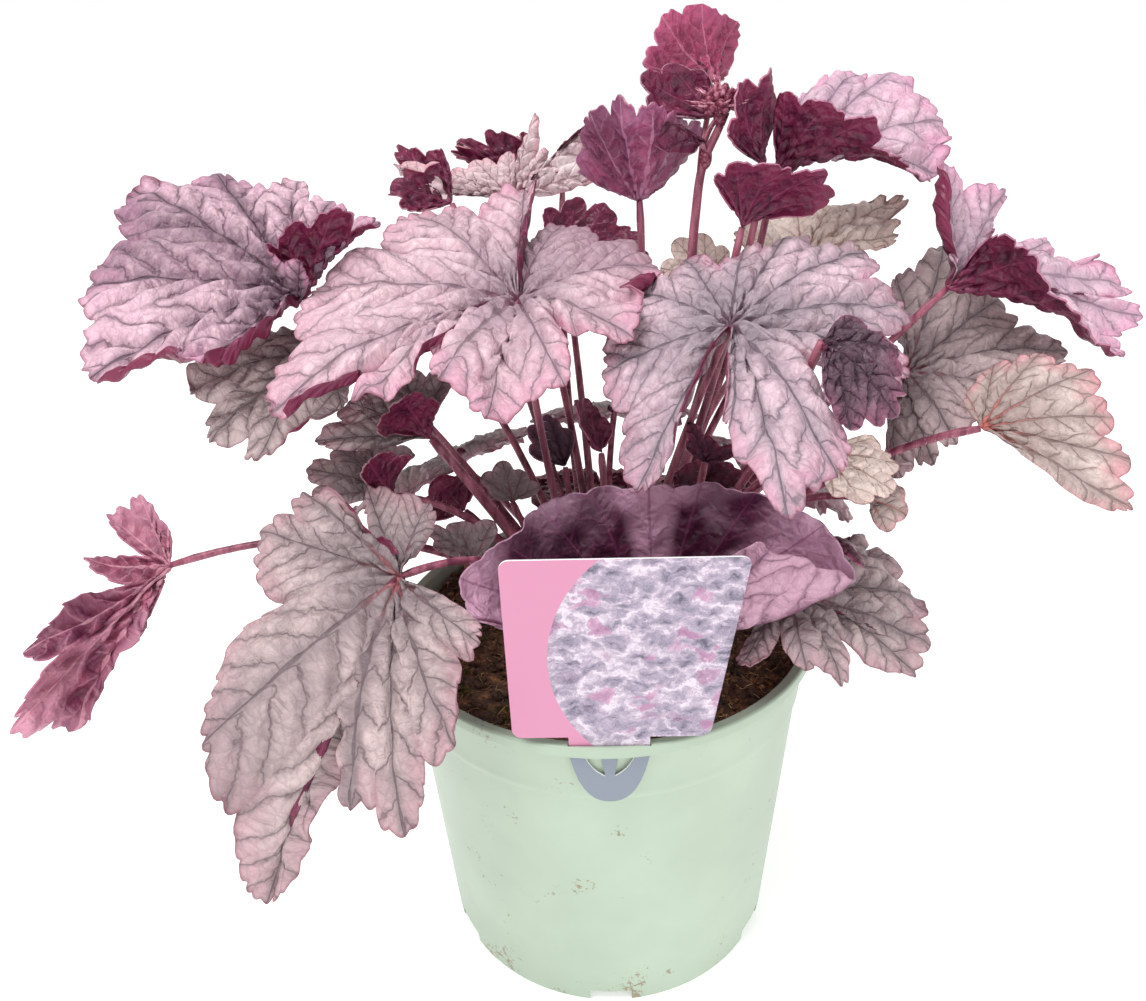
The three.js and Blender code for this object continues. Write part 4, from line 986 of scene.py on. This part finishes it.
    # the pale and dull stretches: a paler or duller tone on some leaves, and on others painted highlight and
    # sheen where pale and painted shade of folds, hollows and cast shadows where dull
    pale, dull = np.zeros(len(corners)), np.zeros(len(corners))
    for middle, half, amount in blade.painted_light_and_tone:
        inside = np.clip(1.4 * (1 - np.abs((t[corners] - middle) / half) ** 2), 0, 1)
        stretch = abs(amount) * inside * np.sqrt(s[corners])
        if amount > 0:
            pale = np.maximum(pale, stretch)
        else:
            dull = np.maximum(dull, stretch)
    for map_name, pairs in (
        ("main_vein", (np.abs(across), width)),
        ("side_vein", (phase, 1 - 0.55 * np.abs(across) / (1 + 0.5 * along))),
        ("surface", tuple((flat[corners] + shift).T)),
        ("share", (s[corners], radius[corners])),
        ("painted_light_and_tone", (pale, dull)),
    ):
        layer = mesh.uv_layers.new(name=map_name)
        layer.data.foreach_set("uv", np.stack(pairs, 1).ravel())
    mesh.shade_smooth()
    return mesh


SMOOTH = {"interpolation_type": "SMOOTHSTEP"}


def leaf_maps(node):
    """A blade's maps, and its distances from main and side veins that wander a little."""
    surface = node("UVMap", uv_map="surface")
    main, side, share, painted_light_and_tone = (
        node("SeparateXYZ", {0: node("UVMap", uv_map=name)}).outputs
        for name in ("main_vein", "side_vein", "share", "painted_light_and_tone")
    )
    wander = node("TexNoise", {"Vector": surface, "Scale": 0.13, "Detail": 3.0, "Roughness": 0.6})
    away = node("Math", {0: wander, 1: 0.5}, operation="SUBTRACT")
    strayed = node("Math", {0: away, 1: 1.2, 2: main["X"]}, operation="MULTIPLY_ADD")
    # the phase is a whole number on each side vein
    phase = node("Math", {0: away, 1: 1.1, 2: side["X"]}, operation="MULTIPLY_ADD")
    gap = node("Math", {0: phase, 1: 0.5}, operation="PINGPONG")
    return surface, main["Y"], side["Y"], share, painted_light_and_tone, wander, away, strayed, gap


def leaf_upper(name, gloss, light, blotch, halo, vein, heart, margin, root, rim):
    """The upper side of a leaf, as a tangle of dark veins on a marbled silvery ground."""
    node, shader, finish = new_finish(name)
    surface, width, side_fade, share, painted_light_and_tone, wander, away, strayed, gap = leaf_maps(node)

    # main and side veins: a solid line and a soft halo each
    wide = node("Math", {0: width, 1: 1.8}, operation="MULTIPLY")
    slim = node("Math", {0: width, 1: 0.5}, operation="MULTIPLY")
    main_line = node("MapRange", {
        "Value": strayed, "From Min": wide, "From Max": slim, "To Max": 0.75,
    }, **SMOOTH)
    halo_reach = node("MapRange", {"Value": share["X"], "To Min": 7.0, "To Max": 2.2})
    main_halo = node("MapRange", {"Value": strayed, "From Min": halo_reach, "From Max": 0.0}, **SMOOTH)
    side_line = node("MapRange", {"Value": gap, "From Min": 0.075, "From Max": 0.0, "To Max": 0.62}, **SMOOTH)
    side_ink = node("Math", {0: side_line, 1: side_fade}, operation="MULTIPLY")
    side_halo = node("MapRange", {"Value": gap, "From Min": 0.26, "From Max": 0.0, "To Max": 0.75}, **SMOOTH)

    # the net of small veins between them, coarse and fine
    stray = node("VectorMath", {0: wander.outputs["Color"], "Scale": 4.0}, operation="SCALE")
    swayed = node("VectorMath", {0: surface, 1: stray}, operation="ADD")
    net, fine_net = (
        node("TexVoronoi", {"Vector": swayed, "Scale": scale}, feature="DISTANCE_TO_EDGE")
        for scale in (0.24, 0.62)
    )
    net_line = node("MapRange", {"Value": net, "From Min": 0.12, "From Max": 0.0, "To Max": 0.2}, **SMOOTH)
    fine_line = node("MapRange", {"Value": fine_net, "From Min": 0.12, "From Max": 0.0, "To Max": 0.1})
    nets = node("Math", {0: net_line, 1: fine_line}, operation="MAXIMUM")
    lines = node("Math", {0: main_line, 1: side_ink}, operation="MAXIMUM")
    ink = node("Math", {0: lines, 1: nets}, operation="MAXIMUM")
    halos = node("Math", {0: main_halo, 1: side_halo}, operation="MAXIMUM")
    soft_halo = node("Math", {0: halos, 1: 0.72}, operation="MULTIPLY")

    # a light ground with blotches, clouds, its heart and margin, pale and dull stretches that are a
    # paler or duller tone on some leaves and painted highlight and painted shade on others, and over it
    # the veins, their roots and the rim, which on the dark skins is partly a painted highlight
    marble = node("TexNoise", {
        "Vector": surface, "Scale": 0.22, "Detail": 4.0, "Roughness": 0.62, "Distortion": 0.6,
    })
    patch = node("MapRange", {"Value": marble, "From Min": 0.42, "From Max": 0.66})
    cloud = node("TexNoise", {"Vector": surface, "Scale": 0.05, "Detail": 2.0})
    clouded = node("MapRange", {"Value": cloud, "From Min": 0.45, "From Max": 0.7, "To Max": 0.6})
    near_heart = node("MapRange", {
        "Value": share["Y"], "From Min": 30.0, "From Max": 4.0, "To Max": 0.9,
    }, **SMOOTH)
    edge_stray = node("Math", {0: away, 1: 0.35, 2: share["X"]}, operation="MULTIPLY_ADD")
    near_edge = node("MapRange", {
        "Value": edge_stray, "From Min": 0.72, "From Max": 1.02, "To Max": 0.85,
    }, **SMOOTH)
    at_root = node("MapRange", {
        "Value": share["Y"], "From Min": 18.0, "From Max": 1.0, "To Max": 0.9,
    }, **SMOOTH)
    rooted = node("Math", {0: at_root, 1: main_line}, operation="MULTIPLY")
    # the rim line: on pale skins a dark margin colour, on the dark skins partly the margin's pale hairs and
    # partly a painted highlight
    at_rim = node("MapRange", {"Value": share["X"], "From Min": 0.98, "From Max": 0.998, "To Max": 0.6})
    colour = linear(light)
    for factor, code in (
        (patch, blotch), (clouded, halo), (near_heart, heart), (near_edge, margin), (painted_light_and_tone["X"], light),
        (painted_light_and_tone["Y"], halo), (soft_halo, halo), (ink, vein), (rooted, root), (at_rim, rim),
    ):
        colours = {"Factor": factor, 6: colour, 7: linear(code)}
        colour = node("Mix", colours, data_type="RGBA").outputs[2]

    # relief: wrinkled and quilted, with the veins sunk in
    grain = node("TexNoise", {"Vector": surface, "Scale": 1.6, "Detail": 3.0, "Roughness": 0.6})
    cell = node("MapRange", {"Value": net, "From Max": 0.4, "To Max": 1.3}, **SMOOTH)
    quilt = node("Math", {0: grain, 1: cell}, operation="ADD")
    relief = node("Math", {0: ink, 1: -1.4, 2: quilt}, operation="MULTIPLY_ADD")
    bump = node("Bump", {"Height": relief, "Strength": 0.7, "Distance": 0.0007})
    set_inputs(shader, {"Base Color": colour, "Normal": bump, "Roughness": gloss, "Specular IOR Level": 0.5})
    return finish


def leaf_under(name, gloss, ground, dark, rib, margin):
    """The underside of a leaf: wine red, a little shiny, with its veins standing out paler."""
    node, shader, finish = new_finish(name)
    surface, width, _, share, painted_light_and_tone, _, _, strayed, gap = leaf_maps(node)
    wide = node("Math", {0: width, 1: 1.9}, operation="MULTIPLY")
    main_line = node("MapRange", {
        "Value": strayed, "From Min": wide, "From Max": width, "To Max": 0.5,
    }, **SMOOTH)
    side_line = node("MapRange", {"Value": gap, "From Min": 0.09, "From Max": 0.0, "To Max": 0.25}, **SMOOTH)
    ribs = node("Math", {0: main_line, 1: side_line}, operation="MAXIMUM")
    marble = node("TexNoise", {
        "Vector": surface, "Scale": 0.2, "Detail": 4.0, "Roughness": 0.6, "Distortion": 0.5,
    })
    patch = node("MapRange", {"Value": marble, "From Min": 0.4, "From Max": 0.68})
    cloud = node("TexNoise", {"Vector": surface, "Scale": 0.07, "Detail": 3.0})
    # a margin band broken by clouds: a paler tone on most undersides, painted sheen on the aubergine one
    edge_stray = node("Math", {0: cloud, 1: 0.9, 2: share["X"]}, operation="MULTIPLY_ADD")
    near_edge = node("MapRange", {
        "Value": edge_stray, "From Min": 1.18, "From Max": 1.5, "To Max": 0.6,
    }, **SMOOTH)
    # pale stretches take the margin colour and dull ones the dark colour: a paler or duller tone on some
    # leaves, painted sheen and painted shade on others
    colour = linear(ground)
    for factor, code in (
        (patch, dark), (near_edge, margin), (painted_light_and_tone["X"], margin), (painted_light_and_tone["Y"], dark), (ribs, rib),
    ):
        colours = {"Factor": factor, 6: colour, 7: linear(code)}
        colour = node("Mix", colours, data_type="RGBA").outputs[2]
    grain = node("TexNoise", {"Vector": surface, "Scale": 1.1, "Detail": 3.0, "Roughness": 0.6})
    net = node("TexVoronoi", {"Vector": surface, "Scale": 0.3}, feature="DISTANCE_TO_EDGE")
    cell = node("MapRange", {"Value": net, "From Max": 0.4, "To Max": -1.3}, **SMOOTH)
    quilt = node("Math", {0: grain, 1: cell}, operation="ADD")
    relief = node("Math", {0: ribs, 1: 1.4, 2: quilt}, operation="MULTIPLY_ADD")
    bump = node("Bump", {"Height": relief, "Strength": 0.55, "Distance": 0.0006})
    set_inputs(shader, {"Base Color": colour, "Normal": bump, "Roughness": gloss, "Specular IOR Level": 0.45})
    return finish


# Live leaf skin: waxy but finely wrinkled, so it shines softly and only on its bulges. The colours
# are light, blotch, halo, vein, heart, margin, root and rim.
# On the plum, wine and lilac skins the pale rim colour is partly the margin's pale hairs and partly a painted
# highlight along the edge.
TOPS = {
    skin: leaf_upper(name, gloss, *codes.split()) for skin, name, gloss, codes in (
        ("pink", "silver_pink_leaf", 0.4, "EACAD3 D6ACBA AA8C98 6E5864 988690 DA9EB4 8C4A62 8A3A56"),
        ("silver", "blue_silver_leaf", 0.4, "EACCD7 D2B0BE 9A8892 5C505C 9A8C94 D49EB2 6A4658 7E2B4C"),
        ("orchid", "orchid_leaf", 0.42, "F0CEDC E0B4C8 B094A6 8A6C80 C0A4B4 E8A8C6 CC7466 9A4468"),
        ("mauve", "mauve_leaf", 0.34, "E8C2CF B48CA2 6C4E60 3A2230 8A6E80 D090B0 6A344C 7E2B4C"),
        ("rose", "pale_rose_leaf", 0.46, "FFF0F0 F0D4D8 D4B6BC 9C7C84 DCC2C6 E6A8B6 A05A6C 8A3A50"),
        ("lilac", "lilac_leaf", 0.42, "CC9EB4 AA7E94 8A5C74 6A425A 7C3E5C C898AE 5A3246 B888A0"),
        ("taupe", "taupe_leaf", 0.44, "D0B9B9 B4A0A1 8E7D80 5E4D54 8E7F82 C69EA6 B06068 7E3A50"),
        ("straw", "straw_leaf", 0.45, "E4D2CC CAB4AE A28E8A 7E6462 C0A8A2 D8989F D87068 B0566A"),
        # the beige skin is paler than the leaves' own colour: painted light over the shade that the leaves
        # above cast on them
        ("beige", "beige_leaf_with_painted_light", 0.5, "FFF4EC FCE8E0 ECD4CA A2847A F6E2D8 F0D0C8 B87068 8A3A50"),
        ("plum", "plum_leaf", 0.4, "9A6C80 744A60 4E2E40 33202C 624C5A 90506C 50283C C894AC"),
        ("wine", "wine_leaf", 0.38, "96365A 6A2042 4E1430 3A0A22 602040 A03C64 6A1C3C D692AC"),
    )
}
# Leaf underside: smoother than the top. The colours are ground, dark patches, ribs and margin.
UNDERS = {
    skin: leaf_under(skin + "_underside", gloss, *codes.split()) for skin, gloss, codes in (
        ("burgundy", 0.36, "721E42 46102C 8E3E60 842C4E"),
        ("crimson", 0.38, "AA4268 7A2244 CC7C98 B45078"),
        ("dusky", 0.4, "984A64 5E2040 DCA0B0 CC8CA2"),
        ("violet", 0.4, "9C4C70 602444 C48CAA B47096"),
        # the aubergine's pale margin colour is painted sheen and painted light over the shade inside the
        # front leaf's bowl
        ("aubergine", 0.4, "5A1A3E 3A0C2A 86406A D0A0BA"),
    )
}


def thickened(name, mesh):
    """An object of a blade's middle surface, given its thickness and its second skin."""
    piece = bpy.data.objects.new(name, mesh)
    bpy.context.collection.objects.link(piece)
    wall = piece.modifiers.new("thickness", "SOLIDIFY")
    wall.thickness, wall.offset, wall.material_offset = LEAF_THICKNESS * MM, 0, 1
    return piece


NOT_FORM = ("tone", "skin", "under", "elbow", "root", "girth", "fan")
blades = {}
for number, (name, leaf) in enumerate(LEAVES.items()):
    form = {key: value for key, value in leaf.items() if key not in NOT_FORM}
    if "fan" in leaf:
        form["veins"] = fan_veins(*leaf["fan"])
    blades[name] = Blade(**form)
    draws = np.random.default_rng(100 + number)
    mesh = blade_mesh(name + "_blade", blades[name], draws, COARSE if "back" in name else FINE)
    mesh.materials.append(TOPS[leaf.get("skin", leaf["tone"])])
    mesh.materials.append(UNDERS[leaf.get("under", "burgundy")])
    piece = thickened(name + "_blade", mesh)
    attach(piece, "root")
    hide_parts(name)

# ---- Crown and stalks ------------------------------------------------------------------------
# The leaf stalks are fleshy, dark red and covered in fine white hairs. They rise from a knobbly
# crown with a papery brown skin, half sunk in the soil.

CROWN_RADIUS, CROWN_TOP = 12, 129
STALK_FOOT, STALK_TIP = 1.6, 1.1
STALK_RING = 8  # distance of a stalk's foot from the axis
STALK_POINTS = 22
STALK_END = (1.05, 1.15, 0.9)  # a slight swelling just under the blade
STEM_FOOT, STEM_TIP = 1.9, 1.2
STEM_ROUTE = [(6, 3, 121), (20, 12, 180), (29, 14, 235), (31, 12.5, 262), (32.5, 9.5, 278), (37, 6, 290)]
HAIR_SPACING, HAIR_FOOT, HAIR_TIP = 0.85, 0.055, 0.012


def smooth_route(knots, count):
    """Points along a curve through these knots, as a round-cornered path."""
    knots = np.array(knots, float)
    padded = np.vstack([2 * knots[0] - knots[1], knots, 2 * knots[-1] - knots[-2]])
    return between_veins(padded, np.linspace(0, len(knots) - 1, count))


def bezier_route(start, elbow, end, count):
    f = np.linspace(0, 1, count)[:, None]
    return (1 - f) ** 2 * np.array(start) + 2 * f * (1 - f) * np.array(elbow) + f ** 2 * np.array(end)


stalk_curve = bpy.data.curves.new("stalks", "CURVE")
stalk_curve.dimensions = "3D"
stalk_curve.bevel_depth = MM
stalk_curve.bevel_resolution = 3
stalk_curve.use_fill_caps = True


def add_stalk(route, radii):
    """Adds a round stalk along points in mm, each with its radius in mm."""
    spline = stalk_curve.splines.new("POLY")
    spline.points.add(len(route) - 1)
    for point, place, radius in zip(spline.points, route, radii):
        point.co = (*(np.array(place) * MM), 1)
        point.radius = radius


stalk_routes = []
for name, leaf in LEAVES.items():
    blade = blades[name]
    t = np.arange(0, blade.last + 0.25, 0.5)
    normal = np.cross(blade.direction(t), blade.direction(t + 0.01) - blade.direction(t - 0.01))
    away = unit(unit(unit(normal).sum(0)) + blade.direction(t).mean(0))
    angle = math.atan2(leaf["elbow"][1], leaf["elbow"][0])
    foot = leaf.get("root", (STALK_RING * math.cos(angle), STALK_RING * math.sin(angle), SOIL_TOP))
    route = bezier_route(foot, leaf["elbow"], blade.heart - away * 0.7, STALK_POINTS)
    radii = leaf.get("girth", 1) * np.linspace(STALK_FOOT, STALK_TIP, len(route))
    radii[-3:] *= STALK_END
    stalk_routes.append((route, radii))
stem_route = smooth_route(STEM_ROUTE, 2 * STALK_POINTS)
stalk_routes.append((stem_route, np.linspace(STEM_FOOT, STEM_TIP, len(stem_route))))
for route, radii in stalk_routes:
    add_stalk(route, radii)
stalk_bm = mesh_of(stalk_curve)

crown_bm = turned([
    (0, SOIL_TOP - 30), (7, SOIL_TOP - 30), (CROWN_RADIUS, SOIL_TOP - 8), (CROWN_RADIUS + 1, SOIL_TOP - 2),
    (CROWN_RADIUS, SOIL_TOP + 2), (9.5, CROWN_TOP - 3), (5, CROWN_TOP - 1), (0, CROWN_TOP),
], 32)
bmesh.ops.subdivide_edges(crown_bm, edges=crown_bm.edges, cuts=1, use_grid_fill=True)
for v in crown_bm.verts:
    bulge = 1 + 0.16 * noise.noise(v.co / MM / 4)
    v.co.x *= bulge
    v.co.y *= bulge
# Crown skin: dry, papery and brown over the dark red flesh.
crown_finish = mottled_finish("papery_crown_skin", 260.0, 4.0, ((0.38, "3A1A1C"), (0.66, "8A5A44")), 0.75)
crown = shown_object("crown", crown_bm, crown_finish)
# Stalk flesh: dark red streaked with rose, juicy, so it has a fairly sharp gloss.
stalk_finish = mottled_finish(
    "red_stalk_flesh", 420.0, 3.0, ((0.34, "6A2440"), (0.68, "B4687C")), 0.42, stretch=(1, 1, 0.12),
)
stalks = shown_object("leaf_stalks", stalk_bm, stalk_finish)

hair_heap = Heap()
for route, radii in stalk_routes:
    steps = np.linalg.norm(np.diff(route, axis=0), axis=1)
    along = np.concatenate([[0], np.cumsum(steps)])
    for place in np.arange(4, along[-1], HAIR_SPACING):
        place += rng.uniform(-0.4, 0.4)
        spot = np.array([np.interp(place, along, route[:, k]) for k in range(3)])
        ahead = np.array([np.interp(place + 1, along, route[:, k]) for k in range(3)]) - spot
        if np.linalg.norm(ahead) < 0.2:
            continue
        out = np.cross(ahead, rng.normal(size=3))
        out = unit(out) + 0.35 * unit(ahead) * rng.uniform(-1, 1)
        radius = np.interp(place, along, radii)
        start = Vector(spot + unit(out) * radius * 0.8) * MM
        end = start + Vector(unit(out)) * rng.uniform(0.9, 1.9) * MM
        strand(hair_heap, [start, end], [HAIR_FOOT * MM, HAIR_TIP * MM], 3)
# Plant hairs: colourless and fine. They are drawn a little thicker than life so that they show.
hair_finish = mottled_finish("plant_hairs", 200.0, 2.0, ((0.4, "DCBCC6"), (0.6, "F4E8EA")), 0.4)
hairs = shown_object("stalk_hairs", hair_heap.gathered(), hair_finish, smooth=False)
for piece in (stalks, crown, hairs):
    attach(piece, "root")
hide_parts("crown_stalks")

# ---- Bud head --------------------------------------------------------------------------------
# The flower stem's tip: a tight bunch of unopened wine-red buds in a ring of pointed bracts with
# pale pink edges.

BUD_MIDDLE = Vector((37, 5.4, 296))
BUD_CORE, BUDS, BUD_RADIUS, BUD_STRETCH = 3.4, 26, 1.25, 1.45
BRACTS, BRACT_LENGTH, BRACT_RADIUS = 30, 8.5, 1.4
NECK_FOOT, NECK_TOP, NECK_HEIGHT = 1.25, 2.6, 3.4
NODE_MIDDLE, NODE_SIZE = Vector((33.3, 8.8, 281)), Vector((2.0, 2.0, 3.6))
bud_bm = bmesh.new()
bmesh.ops.create_icosphere(
    bud_bm, subdivisions=3, radius=BUD_CORE * MM, matrix=Matrix.Translation(BUD_MIDDLE * MM)
)
bmesh.ops.create_cone(
    bud_bm, cap_ends=True, segments=16, radius1=NECK_FOOT * MM, radius2=NECK_TOP * MM,
    depth=NECK_HEIGHT * MM, matrix=Matrix.Translation((BUD_MIDDLE - Vector((0, 0, BUD_CORE + 1.0))) * MM),
)
golden = math.pi * (3 - math.sqrt(5))
for k in range(BUDS):
    up = 1 - 1.5 * (k + 0.5) / BUDS
    across = math.sqrt(1 - up * up)
    out = Vector((across * math.cos(golden * k), across * math.sin(golden * k), up))
    stretch = Matrix.Diagonal((BUD_RADIUS * MM, BUD_RADIUS * MM, BUD_RADIUS * BUD_STRETCH * MM, 1))
    turn = out.to_track_quat("Z", "Y").to_matrix().to_4x4()
    place = Matrix.Translation((BUD_MIDDLE + out * (BUD_CORE + 0.5)) * MM)
    bmesh.ops.create_icosphere(bud_bm, subdivisions=2, radius=1, matrix=place @ turn @ stretch)
swelling = Matrix.Translation(NODE_MIDDLE * MM) @ Matrix.Diagonal((*(NODE_SIZE * MM), 1))
bmesh.ops.create_icosphere(bud_bm, subdivisions=3, radius=1, matrix=swelling)
# Bud skin: wine red and matt, with a frosting of tiny hairs.
bud_finish = mottled_finish("wine_red_bud_skin", 1300.0, 2.0, ((0.45, "6E1C38"), (0.72, "C07C92")), 0.6)
buds = shown_object("buds", bud_bm, bud_finish)

bract_bm = bmesh.new()
for k in range(BRACTS):
    lean = rng.uniform(0.5, 1.5)
    turn = Matrix.Rotation(golden * k, 4, "Z") @ Matrix.Rotation(lean, 4, "X")
    reach = BRACT_LENGTH * rng.uniform(0.7, 1.15)
    bract = bmesh.ops.create_cone(
        bract_bm, cap_ends=True, segments=10, radius1=BRACT_RADIUS * MM, radius2=0.05 * MM, depth=reach * MM,
    )["verts"]
    bmesh.ops.scale(bract_bm, verts=bract, vec=(1, 0.4, 1))
    place = Matrix.Translation((BUD_MIDDLE - Vector((0, 0, BUD_CORE * 0.3))) * MM)
    lift = Matrix.Translation((0, 0, (reach / 2 + 2.2) * MM))
    bmesh.ops.transform(bract_bm, matrix=place @ turn @ lift, verts=bract)
# Bract skin: wine red, fading to frosted pink in streaks.
bract_finish = mottled_finish("frosted_bract_skin", 700.0, 2.0, ((0.42, "8A2A4A"), (0.62, "DCA0B0")), 0.55)
bracts = shown_object("bracts", bract_bm, bract_finish)

# one long leafy bract stands out to the left of the node under the buds
curl_veins = [(163, 22, 12), (176, 14, 21), (-172, 4, 13)]
curl = Blade((33.5, 7.5, 283), curl_veins, cut=0.05, arch=0.3, teeth=0.4)
curled_bract = thickened("curled_bract", blade_mesh("curled_bract", curl, rng, FINE))
curled_bract.data.materials.append(TOPS["wine"])
curled_bract.data.materials.append(UNDERS["dusky"])
for piece in (buds, bracts, curled_bract):
    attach(piece, "root")
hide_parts("bud_head")
